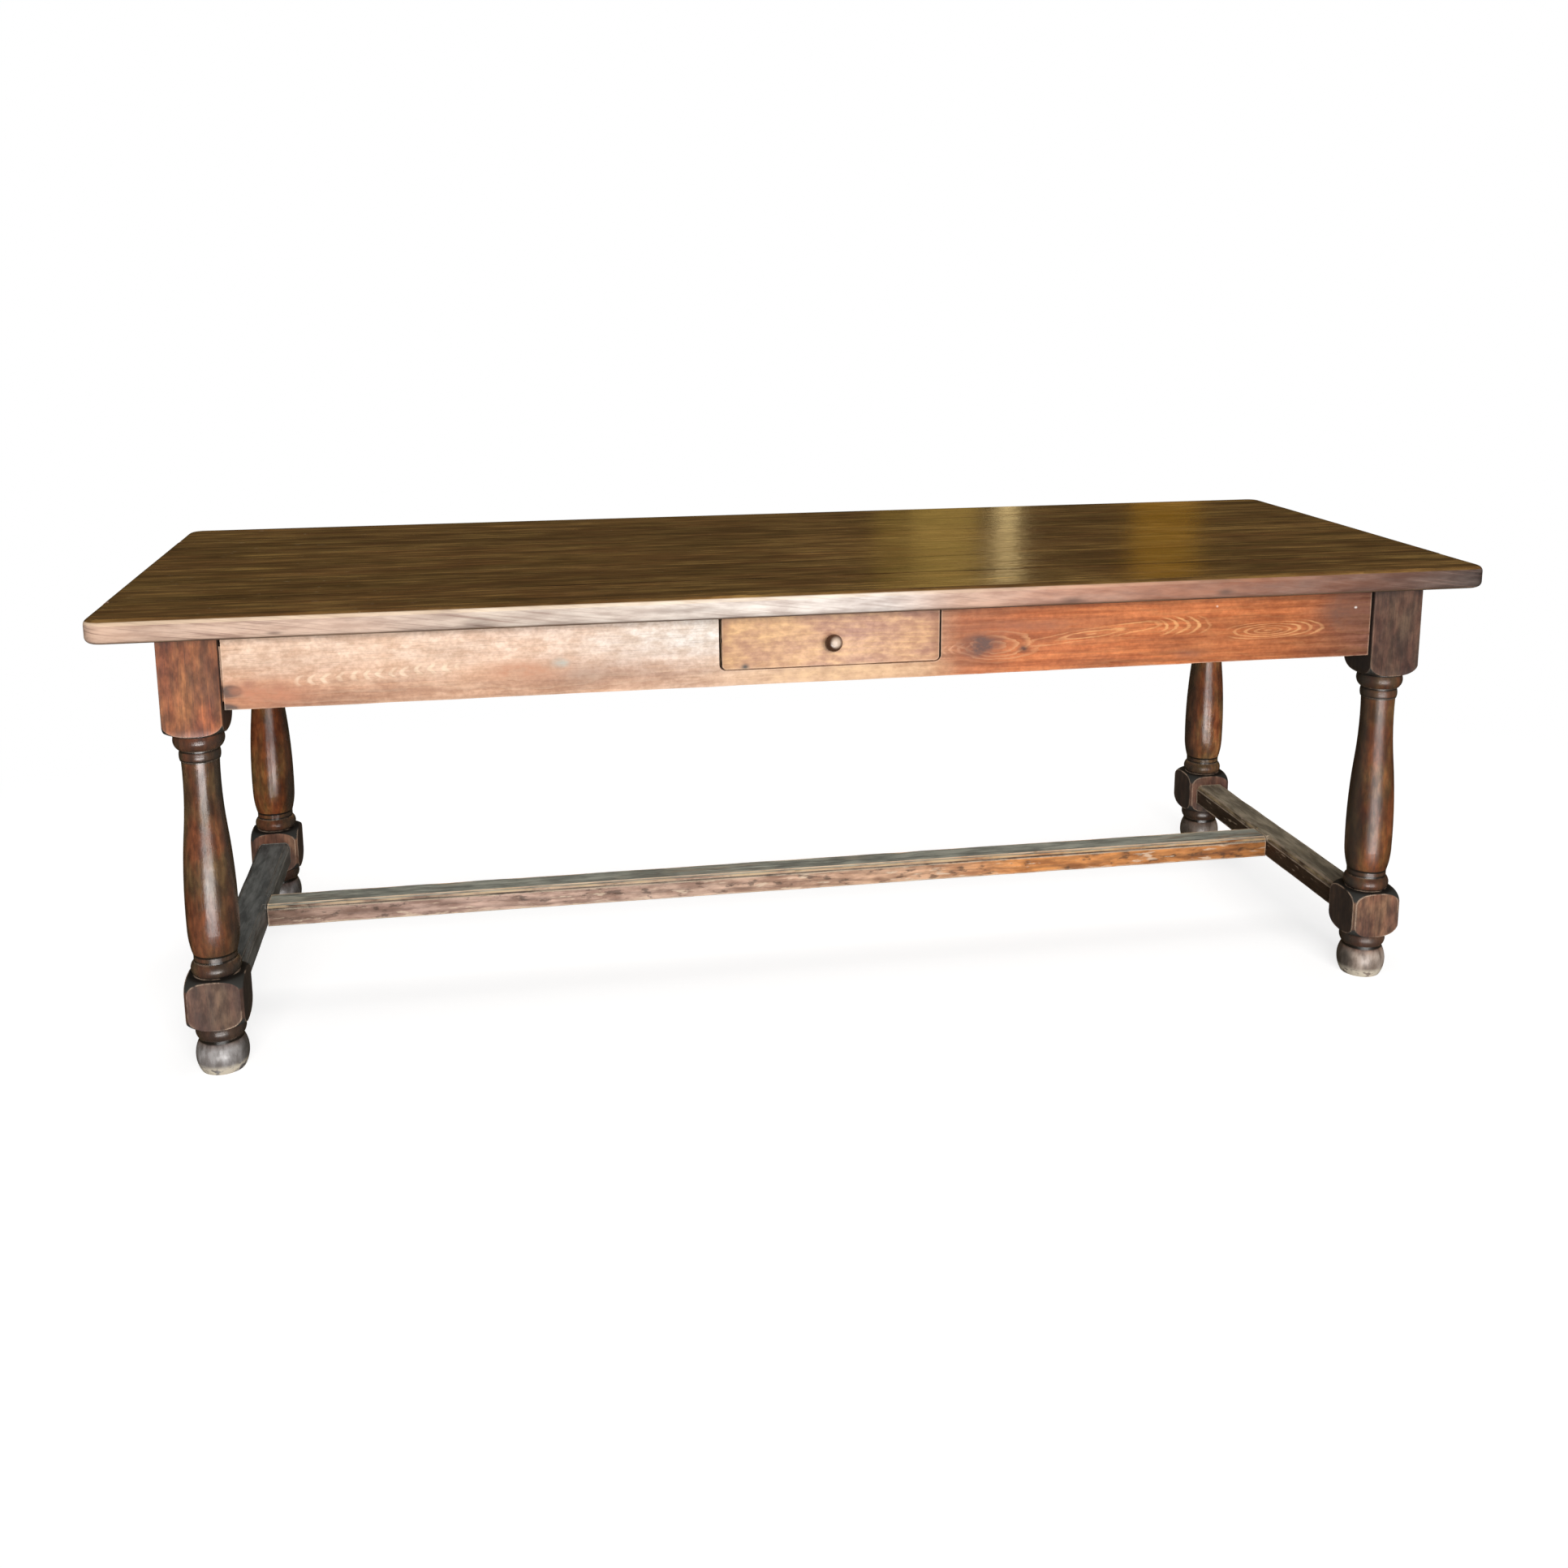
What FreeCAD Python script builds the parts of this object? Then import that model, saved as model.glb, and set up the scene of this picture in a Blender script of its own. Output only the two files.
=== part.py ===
import FreeCAD, Part
import os
import Sketcher

# Farmhouse table of stained hardwood: a top of long boards on four turned legs,
# aprons and H stretchers tenoned into the legs, and one dovetailed drawer in the front apron.
# Millimetres. X runs along the table, the drawer faces -Y, Z is up, the origin is on the floor.

doc = FreeCAD.newDocument("farmhouse_table")
sheet = doc.addObject("Spreadsheet::Sheet", "sizes")

SIZES = [
    ("table_length", 2270, "length of the top"),
    ("table_width", 870, "width of the top"),
    ("table_height", 760, "floor to upper face of the top"),
    ("top_thickness", 38, "thickness of the boards"),
    ("top_corner_radius", 30, "corner of the top, seen from above"),
    ("top_edge_round", 10, "rounding of the upper and lower arris of the top"),
    ("board_count", 6, "boards side by side in the top"),
    ("board_gap", 0.4, "shrinkage gap between two boards"),
    ("spline_thickness", 9, "loose tongue between two boards"),
    ("spline_depth", 12, "depth of the loose tongue in each board"),
    ("spline_margin", 60, "end of the top to end of the loose tongue"),
    ("joint_fit", 0.1, "clearance on each side of a glued joint"),
    ("end_overhang", 94.5, "end of the top to outer face of the legs"),
    ("side_overhang", 43, "long edge of the top to outer face of the legs"),
    ("leg_width", 90, "square blank of a leg"),
    ("leg_arris_radius", 2, "rounded arris of the blank"),
    ("foot_base_radius", 34, "foot at the floor"),
    ("foot_radius", 41.2, "widest part of the foot"),
    ("foot_belly_height", 23, "floor to widest part of the foot"),
    ("foot_neck_radius", 35, "quirk above the foot"),
    ("foot_height", 52, "floor to quirk"),
    ("quirk_height", 6, "straight quirk above the foot"),
    ("bead_root_radius", 36, "bead at its edges"),
    ("bead_radius", 39.5, "bead under the lower block"),
    ("bead_height", 22, "height of that bead"),
    ("block_height", 83, "lower square block"),
    ("block_wear", 3, "rounding turned off the corners of the lower block"),
    ("pommel_radius", 39, "turned radius where a shoulder curve starts"),
    ("low_shoulder_rise", 24, "height of the shoulder curve under the lower block"),
    ("high_shoulder_drop", 18, "height of the shoulder curve over the lower block"),
    ("torus_root_radius", 33, "torus at its edges"),
    ("torus_radius", 39, "torus over the lower block"),
    ("torus_height", 24, "height of the torus"),
    ("fillet_radius", 33.5, "straight fillet over the torus"),
    ("fillet_height", 10, "height of the fillet"),
    ("shoulder_radius", 39.9, "baluster below its belly"),
    ("shoulder_share", 0.125, "height of that station in the length of the baluster"),
    ("belly_radius", 40.3, "belly of the baluster"),
    ("belly_share", 0.22, "height of the belly in the length of the baluster"),
    ("waist_radius", 33, "baluster where the belly turns into the neck"),
    ("waist_share", 0.64, "height of that station in the length of the baluster"),
    ("neck_radius", 28.8, "neck under the ring"),
    ("ring_root_radius", 30.3, "ring at its edges"),
    ("ring_radius", 31.5, "ring over the neck"),
    ("ring_height", 16, "height of the ring"),
    ("ring_quirk", 3, "quirk between ring and collar"),
    ("collar_root_radius", 33, "collar at its lower edge"),
    ("collar_radius", 38.9, "widest part of the collar"),
    ("collar_top_radius", 36, "collar at its upper edge"),
    ("collar_height", 24, "height of the collar"),
    ("collar_neck", 2, "short neck between collar and upper block"),
    ("top_block_height", 159, "upper square block"),
    ("top_shoulder_rise", 24, "height of the shoulder curve under the upper block"),
    ("apron_height", 120, "height of the aprons"),
    ("apron_thickness", 25, "thickness of the aprons"),
    ("apron_setback", 5, "outer face of a leg to face of the apron"),
    ("shoulder_gap", 2.5, "open joint between apron shoulder and leg"),
    ("tenon_thickness", 10, "apron tenon"),
    ("tenon_length", 50, "depth of the apron tenon in the leg"),
    ("tenon_top_set", 20, "top of the apron to top of its tenon"),
    ("tenon_bottom_set", 12, "bottom of the apron to bottom of its tenon"),
    ("mortise_end_gap", 2, "room past the end of every tenon"),
    ("stretcher_bottom", 102, "floor to underside of the stretchers"),
    ("stretcher_width", 62, "width of the stretchers"),
    ("stretcher_height", 42, "height of the stretchers"),
    ("mould_run", 7, "width of the moulded upper edge"),
    ("mould_drop", 9, "depth of the moulded upper edge"),
    ("mould_ledge", 2, "ledge at the foot of the moulding"),
    ("mould_quirk", 1.5, "step at the head of the moulding"),
    ("stretcher_tenon_width", 18, "stretcher tenon across"),
    ("stretcher_tenon_height", 26, "stretcher tenon upright"),
    ("stretcher_tenon_length", 36, "depth of the stretcher tenon"),
    ("button_groove_drop", 10, "top of the apron to button groove"),
    ("button_groove_height", 8, "height of the button groove"),
    ("button_groove_depth", 9, "depth of the button groove"),
    ("button_width", 32, "button along the apron"),
    ("button_reach", 36, "button inward from the apron"),
    ("button_height", 20, "height of a button"),
    ("button_draw", 0.5, "gap left between button and top"),
    ("tongue_thickness", 6.5, "tongue of a button"),
    ("screw_radius", 2.2, "shank of a button screw"),
    ("screw_head_radius", 4.5, "head of a button screw"),
    ("screw_head_height", 2.5, "head of a button screw"),
    ("screw_bite", 20, "depth of the screw in the top"),
    ("strip_height", 26.5, "apron left under the drawer"),
    ("opening_width", 366, "drawer opening"),
    ("opening_radius", 10, "lower corners of the opening"),
    ("drawer_gap_left", 3.5, "gap at the left of the drawer front"),
    ("drawer_gap_right", 1.8, "gap at the right of the drawer front"),
    ("drawer_gap_top", 0.8, "gap over the drawer front"),
    ("drawer_gap_bottom", 0.8, "gap under the drawer front"),
    ("drawer_corner_radius", 8, "lower corners of the drawer front"),
    ("drawer_depth", 500, "front face to back end of the drawer"),
    ("drawer_front_thickness", 22, "drawer front"),
    ("drawer_side_thickness", 12, "drawer sides"),
    ("drawer_side_height", 76, "drawer sides"),
    ("drawer_back_thickness", 12, "drawer back"),
    ("drawer_back_drop", 6, "top of the sides to top of the back"),
    ("drawer_bottom_thickness", 7, "drawer bottom"),
    ("drawer_bottom_rise", 8, "lower edge of the sides to the drawer bottom"),
    ("drawer_groove_depth", 5, "groove for the drawer bottom"),
    ("bottom_end_gap", 0.5, "room past the edges of the drawer bottom"),
    ("housing_depth", 4, "housing of the drawer back in the sides"),
    ("tail_length", 14, "dovetails into the drawer front"),
    ("tail_width", 30, "wide end of a dovetail"),
    ("tail_root_width", 23, "narrow end of a dovetail"),
    ("run_clearance", 0.2, "drawer sides over the runners"),
    ("guide_clearance", 1, "drawer sides to the guides"),
    ("guide_thickness", 18, "upright guide of a runner"),
    ("guide_height", 40, "upright guide of a runner"),
    ("runner_bearing_width", 16, "runner under the drawer side"),
    ("runner_height", 30, "runner under the drawer"),
    ("runner_tenon_length", 10, "stub tenon of a runner in the aprons"),
    ("runner_tenon_height", 10, "stub tenon of a runner"),
    ("runner_tenon_set", 4, "side of a runner to side of its stub tenon"),
    ("stop_length", 20, "drawer stop along the runner"),
    ("stop_height", 20, "height of a drawer stop"),
    ("knob_rise", 40, "lower edge of the drawer front to the knob"),
    ("knob_length", 24, "knob out of the drawer front"),
    ("knob_radius", 14.5, "widest part of the knob"),
    ("knob_widest", 14.5, "drawer front to widest part of the knob"),
    ("knob_base_radius", 9, "base of the knob"),
    ("knob_base_height", 2, "base of the knob"),
    ("knob_neck_radius", 7, "neck of the knob"),
    ("knob_neck_rise", 5, "drawer front to the neck of the knob"),
    ("knob_head_rise", 8, "drawer front to the head of the knob"),
    ("knob_tip_radius", 2, "flat left by the lathe at the tip of the knob"),
    ("knob_spigot_radius", 6, "spigot of the knob in the drawer front"),
]

for row, (alias, size, note) in enumerate(SIZES, start=1):
    sheet.set(f"A{row}", note)
    sheet.set(f"B{row}", str(size))
    sheet.setAlias(f"B{row}", alias)
doc.recompute()

# Places that several pieces share, worked out from the sheet
LEG_LENGTH = "(sizes.table_height - sizes.top_thickness)"
LEG_X = "(sizes.table_length / 2 - sizes.end_overhang - sizes.leg_width / 2)"
LEG_Y = "(sizes.table_width / 2 - sizes.side_overhang - sizes.leg_width / 2)"
LONG_CLEAR = f"({LEG_X} - sizes.leg_width / 2)"
SHORT_CLEAR = f"({LEG_Y} - sizes.leg_width / 2)"
APRON_OUT = "(sizes.leg_width / 2 - sizes.apron_setback - sizes.apron_thickness / 2)"
APRON_BOTTOM = f"({LEG_LENGTH} - sizes.apron_height)"
APRON_INNER_X = f"({LEG_X} + {APRON_OUT} - sizes.apron_thickness / 2)"
APRON_INNER_Y = f"({LEG_Y} + {APRON_OUT} - sizes.apron_thickness / 2)"
TENON_MIDDLE = "((sizes.apron_height + sizes.tenon_bottom_set - sizes.tenon_top_set) / 2)"
TENON_HEIGHT = "(sizes.apron_height - sizes.tenon_bottom_set - sizes.tenon_top_set)"
STRETCHER_HALF = "(sizes.stretcher_width / 2)"
BOARD_WIDTH = "(sizes.table_width / sizes.board_count)"
OPENING_BOTTOM = f"({APRON_BOTTOM} + sizes.strip_height)"
FACE_Y = f"(-{LEG_Y} - sizes.leg_width / 2 + sizes.apron_setback)"
DRAWER_WIDTH = "(sizes.opening_width - sizes.drawer_gap_left - sizes.drawer_gap_right)"
DRAWER_X = "((sizes.drawer_gap_left - sizes.drawer_gap_right) / 2)"
DRAWER_INNER = f"({DRAWER_WIDTH} - 2 * sizes.drawer_side_thickness)"
RUNNER_TOP = f"({OPENING_BOTTOM} + sizes.opening_radius)"
SIDE_Z = f"({RUNNER_TOP} + sizes.run_clearance)"
FRONT_Z = f"({OPENING_BOTTOM} + sizes.drawer_gap_bottom)"
RUNNER_OUTER = "(sizes.guide_clearance + sizes.guide_thickness)"
QUARTER = "sqrt(0.5)"

nodes = []


def value(holder, expression):
    return float(holder.evalExpression(expression))


def place(part, x, y, z):
    for axis, expression in zip("xyz", (x, y, z)):
        part.setExpression(f"Placement.Base.{axis}", expression)


def keep(part, label):
    part.Label = label
    nodes.append(part)
    return part


def new_body(name, x="0", y="0", z="0"):
    body = doc.addObject("PartDesign::Body", name)
    place(body, x, y, z)
    return body


def new_sketch(body, name, plane, offset="0"):
    """Sketch on one of the body's own origin planes, moved along the plane's normal."""
    sketch = body.newObject("Sketcher::SketchObject", name)
    support = next(f for f in body.Origin.OriginFeatures if f.Role == plane)
    sketch.AttachmentSupport = [(support, "")]
    sketch.MapMode = "FlatFace"
    sketch.setExpression("AttachmentOffset.Base.z", offset)
    return sketch


def fix_point(sketch, geometry, end, x, y):
    """Tie one end of a sketch edge to the sheet."""
    for kind, axis, expression in (("DistanceX", -2, x), ("DistanceY", -1, y)):
        if expression == "0":
            sketch.addConstraint(Sketcher.Constraint("PointOnObject", geometry, end, axis))
            continue
        size = value(sketch, expression)
        index = sketch.addConstraint(Sketcher.Constraint(kind, -1, 1, geometry, end, size))
        sketch.setExpression(f"Constraints[{index}]", expression)


def draw(sketch, start, *steps):
    """Closed outline. A step is a line to (x, y), an arc through (x, y) to (x, y), or a flowing arc,
    ("flow", x, y, x, y), which passes near its first point and runs smoothly into the arc beside it."""
    moves = list(steps)
    gap = [value(sketch, end) - value(sketch, begin) for end, begin in zip(steps[-1][-2:], start)]
    if max(map(abs, gap)) > 1e-6:
        moves.append(start)
    corners = [start] + [move[-2:] for move in moves[:-1]]
    edges = []
    for corner, move in zip(corners, moves):
        begin = FreeCAD.Vector(value(sketch, corner[0]), value(sketch, corner[1]), 0)
        finish = FreeCAD.Vector(value(sketch, move[-2]), value(sketch, move[-1]), 0)
        if len(move) == 2:
            edges.append((sketch.addGeometry(Part.LineSegment(begin, finish)), 1, 2, "line"))
            continue
        via = FreeCAD.Vector(value(sketch, move[-4]), value(sketch, move[-3]), 0)
        arc = sketch.addGeometry(Part.Arc(begin, via, finish))
        first = 1 if sketch.getPoint(arc, 1).isEqual(begin, 1e-6) else 2
        edges.append((arc, first, 3 - first, "flow" if move[0] == "flow" else "arc"))
    for number, (corner, move, edge) in enumerate(zip(corners, moves, edges)):
        after = edges[(number + 1) % len(edges)]
        smooth = {edge[3], after[3]} == {"flow", "arc"}
        meeting = "Tangent" if smooth else "Coincident"
        sketch.addConstraint(Sketcher.Constraint(meeting, edge[0], edge[2], after[0], after[1]))
        fix_point(sketch, edge[0], edge[1], *corner)
        if edge[3] == "arc":
            via = FreeCAD.Vector(value(sketch, move[0]), value(sketch, move[1]), 0)
            mark = sketch.addGeometry(Part.Point(via), True)
            fix_point(sketch, mark, 1, *move[:2])
            sketch.addConstraint(Sketcher.Constraint("PointOnObject", mark, 1, edge[0]))


def rectangle(sketch, middle_x, middle_y, width, height):
    left, right = f"{middle_x} - ({width}) / 2", f"{middle_x} + ({width}) / 2"
    low, high = f"{middle_y} - ({height}) / 2", f"{middle_y} + ({height}) / 2"
    draw(sketch, (left, low), (right, low), (right, high), (left, high))


def corner_arc(x, y, from_x, from_y, to_x, to_y, radius):
    """Arc round the corner (x, y), from its side at from_x, from_y to its side at to_x, to_y."""
    way = f"({radius}) * (1 - {QUARTER})"
    via = (f"{x} + ({from_x + to_x}) * {way}", f"{y} + ({from_y + to_y}) * {way}")
    return (*via, f"{x} + ({to_x}) * ({radius})", f"{y} + ({to_y}) * ({radius})")


def extrude(body, sketch, kind, length, side="Symmetric"):
    feature = body.newObject(f"PartDesign::{kind}", f"{sketch.Name}_{kind.lower()}")
    feature.Profile = sketch
    feature.SideType = side
    feature.setExpression("Length", length)
    sketch.Visibility = False
    return feature


def turn(body, sketch, kind):
    feature = body.newObject(f"PartDesign::{kind}", f"{sketch.Name}_{kind.lower()}")
    feature.Profile = sketch
    feature.ReferenceAxis = (sketch, ["V_Axis"])
    feature.Angle = 360
    return feature


def mortise(body, name, plane, face, middle_x, middle_y, width, height, depth):
    """Square hole sunk from a face of the body: face is the plane's offset, depth is how far it goes in."""
    sketch = new_sketch(body, name, plane, face)
    rectangle(sketch, middle_x, middle_y, f"{width} + 2 * sizes.joint_fit", f"{height} + 2 * sizes.joint_fit")
    return extrude(body, sketch, "Pocket", f"2 * ({depth})")


def primitive(kind, name, sizes, x, y, z):
    solid = doc.addObject(f"Part::{kind}", name)
    for prop, expression in sizes.items():
        solid.setExpression(prop, expression)
    place(solid, x, y, z)
    return solid


def block(name, length, width, height, x, y, z):
    """Box with its middle at x, y and its underside at z."""
    sizes = {"Length": length, "Width": width, "Height": height}
    return primitive("Box", name, sizes, f"{x} - ({length}) / 2", f"{y} - ({width}) / 2", z)


def group(name, parts):
    compound = doc.addObject("Part::Compound", name)
    compound.Links = parts
    return compound


def cut(name, base, tool):
    feature = doc.addObject("Part::Cut", name)
    feature.Base = base
    feature.Tool = tool
    return feature


# Legs: a square blank turned between its two blocks, then mortised on its two inner faces.
# The shoulder curves where the lathe meets the square leave the rounded outline of each block face.
FOOT_TOP = "sizes.foot_height"
BEAD_BOTTOM = f"({FOOT_TOP} + sizes.quirk_height)"
BLOCK_BOTTOM = f"({BEAD_BOTTOM} + sizes.bead_height)"
BLOCK_TOP = f"({BLOCK_BOTTOM} + sizes.block_height)"
TORUS_TOP = f"({BLOCK_TOP} + sizes.torus_height)"
BALUSTER = f"({TORUS_TOP} + sizes.fillet_height)"
UPPER_BLOCK = f"({LEG_LENGTH} - sizes.top_block_height)"
COLLAR_TOP = f"({UPPER_BLOCK} - sizes.collar_neck)"
COLLAR_BOTTOM = f"({COLLAR_TOP} - sizes.collar_height)"
RING_TOP = f"({COLLAR_BOTTOM} - sizes.ring_quirk)"
RING_BOTTOM = f"({RING_TOP} - sizes.ring_height)"
BLANK_CORNER = f"(sizes.leg_width * {QUARTER})"
WORN_CORNER = f"({BLANK_CORNER} - sizes.block_wear)"
CLEAR_OF_BLANK = "(sizes.leg_width * 0.75)"
MIDWAY = f"(sizes.pommel_radius + ({WORN_CORNER} - sizes.pommel_radius) * {QUARTER})"
TOP_MIDWAY = f"(sizes.pommel_radius + ({BLANK_CORNER} - sizes.pommel_radius) * {QUARTER})"
BALUSTER_LENGTH = f"({RING_BOTTOM} - {BALUSTER})"
SHOULDER = f"({BALUSTER} + {BALUSTER_LENGTH} * sizes.shoulder_share)"
BELLY = f"({BALUSTER} + {BALUSTER_LENGTH} * sizes.belly_share)"
WAIST = f"({BALUSTER} + {BALUSTER_LENGTH} * sizes.waist_share)"
EASE = f"(1 - {QUARTER})"


def turned_leg(label, side_x, side_y):
    leg = new_body(f"body_{label}", f"{side_x} * {LEG_X}", f"{side_y} * {LEG_Y}", "0")
    blank = new_sketch(leg, f"blank_{label}", "XY_Plane")
    half = "sizes.leg_width / 2"
    arris = "sizes.leg_arris_radius"
    draw(
        blank,
        (f"-{half} + {arris}", f"-{half}"),
        (f"{half} - {arris}", f"-{half}"),
        corner_arc(half, f"-{half}", -1, 0, 0, 1, arris),
        (half, f"{half} - {arris}"),
        corner_arc(half, half, 0, -1, -1, 0, arris),
        (f"-{half} + {arris}", half),
        corner_arc(f"-{half}", half, 1, 0, 0, -1, arris),
        (f"-{half}", f"-{half} + {arris}"),
        corner_arc(f"-{half}", f"-{half}", 0, 1, 1, 0, arris),
    )
    extrude(leg, blank, "Pad", LEG_LENGTH, "One side")

    waste = new_sketch(leg, f"turning_{label}", "XZ_Plane")
    draw(
        waste,
        (CLEAR_OF_BLANK, "0"),
        ("sizes.foot_base_radius", "0"),
        ("sizes.foot_radius", "sizes.foot_belly_height", "sizes.foot_neck_radius", FOOT_TOP),
        ("sizes.foot_neck_radius", BEAD_BOTTOM),
        ("sizes.bead_root_radius", BEAD_BOTTOM),
        ("sizes.bead_radius", f"({BEAD_BOTTOM} + {BLOCK_BOTTOM}) / 2",
         "sizes.bead_root_radius", BLOCK_BOTTOM),
        ("sizes.pommel_radius", BLOCK_BOTTOM),
        (MIDWAY, f"{BLOCK_BOTTOM} + sizes.low_shoulder_rise * {EASE}",
         WORN_CORNER, f"{BLOCK_BOTTOM} + sizes.low_shoulder_rise"),
        (WORN_CORNER, f"{BLOCK_TOP} - sizes.high_shoulder_drop"),
        (MIDWAY, f"{BLOCK_TOP} - sizes.high_shoulder_drop * {EASE}", "sizes.pommel_radius", BLOCK_TOP),
        ("sizes.torus_root_radius", BLOCK_TOP),
        ("sizes.torus_radius", f"({BLOCK_TOP} + {TORUS_TOP}) / 2",
         "sizes.torus_root_radius", TORUS_TOP),
        ("sizes.fillet_radius", TORUS_TOP),
        ("sizes.fillet_radius", BALUSTER),
        ("flow", "(sizes.fillet_radius + sizes.belly_radius) / 2", f"(2 * {BALUSTER} + {SHOULDER}) / 3",
         "sizes.shoulder_radius", SHOULDER),
        ("sizes.belly_radius", BELLY, "sizes.waist_radius", WAIST),
        ("flow", "sizes.neck_radius", f"({WAIST} + {RING_BOTTOM}) / 2", "sizes.neck_radius", RING_BOTTOM),
        ("sizes.ring_root_radius", RING_BOTTOM),
        ("sizes.ring_radius", f"({RING_BOTTOM} + {RING_TOP}) / 2",
         "sizes.ring_root_radius", RING_TOP),
        ("sizes.ring_root_radius", COLLAR_BOTTOM),
        ("sizes.collar_root_radius", COLLAR_BOTTOM),
        ("sizes.collar_radius", f"({COLLAR_BOTTOM} + {COLLAR_TOP}) / 2",
         "sizes.collar_top_radius", COLLAR_TOP),
        ("sizes.collar_top_radius", UPPER_BLOCK),
        ("sizes.pommel_radius", UPPER_BLOCK),
        (TOP_MIDWAY, f"{UPPER_BLOCK} + sizes.top_shoulder_rise * {EASE}",
         BLANK_CORNER, f"{UPPER_BLOCK} + sizes.top_shoulder_rise"),
        (CLEAR_OF_BLANK, f"{UPPER_BLOCK} + sizes.top_shoulder_rise"),
    )
    turn(leg, waste, "Groove")

    tenon_z = f"{APRON_BOTTOM} + {TENON_MIDDLE}"
    depth = "sizes.tenon_length + sizes.mortise_end_gap"
    mortise(leg, f"long_mortise_{label}", "YZ_Plane", f"{-side_x} * {half}",
            f"{side_y} * {APRON_OUT}", tenon_z, "sizes.tenon_thickness", TENON_HEIGHT, depth)
    mortise(leg, f"short_mortise_{label}", "XZ_Plane", f"{side_y} * {half}",
            f"{side_x} * {APRON_OUT}", tenon_z, "sizes.tenon_thickness", TENON_HEIGHT, depth)
    mortise(leg, f"stretcher_mortise_{label}", "XZ_Plane", f"{side_y} * {half}",
            "0", "sizes.stretcher_bottom + sizes.stretcher_height / 2",
            "sizes.stretcher_tenon_width", "sizes.stretcher_tenon_height",
            "sizes.stretcher_tenon_length + sizes.mortise_end_gap")
    keep(leg, label)


for leg_label, leg_side_x, leg_side_y in (
    ("leg_front_left", -1, -1),
    ("leg_front_right", 1, -1),
    ("leg_back_left", -1, 1),
    ("leg_back_right", 1, 1),
):
    turned_leg(leg_label, leg_side_x, leg_side_y)


# Stretchers: one moulded section for all three, tenoned into the legs and into each other.
def moulded_section(sketch):
    half, top = STRETCHER_HALF, "sizes.stretcher_height"
    ledge_z, quirk_z = f"{top} - sizes.mould_drop", f"{top} - sizes.mould_quirk"
    bulge_x = f"({half} - sizes.mould_run + (sizes.mould_run - sizes.mould_ledge) * {QUARTER})"
    bulge_z = f"({ledge_z} + (sizes.mould_drop - sizes.mould_quirk) * {QUARTER})"
    draw(
        sketch,
        (f"-{half}", "0"),
        (half, "0"),
        (half, ledge_z),
        (f"{half} - sizes.mould_ledge", ledge_z),
        (bulge_x, bulge_z, f"{half} - sizes.mould_run", quirk_z),
        (f"{half} - sizes.mould_run", top),
        (f"-{half} + sizes.mould_run", top),
        (f"-{half} + sizes.mould_run", quirk_z),
        (f"-{bulge_x}", bulge_z, f"-{half} + sizes.mould_ledge", ledge_z),
        (f"-{half}", ledge_z),
    )


def stretcher(label, plane, x, clear):
    bar = new_body(f"body_{label}", x, "0", "sizes.stretcher_bottom")
    section = new_sketch(bar, f"section_{label}", plane)
    moulded_section(section)
    extrude(bar, section, "Pad", f"2 * {clear}")
    tenons = new_sketch(bar, f"tenons_{label}", plane)
    rectangle(tenons, "0", "sizes.stretcher_height / 2",
              "sizes.stretcher_tenon_width", "sizes.stretcher_tenon_height")
    extrude(bar, tenons, "Pad", f"2 * ({clear} + sizes.stretcher_tenon_length)")
    return keep(bar, label)


# The moulding of the long stretcher runs into that of the end stretchers in an inner mitre,
# so each end stretcher carries a short return of the same section on its inner side.
for end_label, end_side in (("left_stretcher", -1), ("right_stretcher", 1)):
    end_bar = stretcher(end_label, "XZ_Plane", f"{end_side} * {LEG_X}", SHORT_CLEAR)
    mitre = new_sketch(end_bar, f"return_{end_label}", "YZ_Plane", f"{-end_side} * {STRETCHER_HALF} / 2")
    moulded_section(mitre)
    extrude(end_bar, mitre, "Pad", STRETCHER_HALF)
    mortise(end_bar, f"mortise_{end_label}", "YZ_Plane", f"{-end_side} * {STRETCHER_HALF}",
            "0", "sizes.stretcher_height / 2", "sizes.stretcher_tenon_width", "sizes.stretcher_tenon_height",
            "sizes.stretcher_tenon_length + sizes.mortise_end_gap")

stretcher("centre_stretcher", "YZ_Plane", "0", f"({LEG_X} - {STRETCHER_HALF})")


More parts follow.
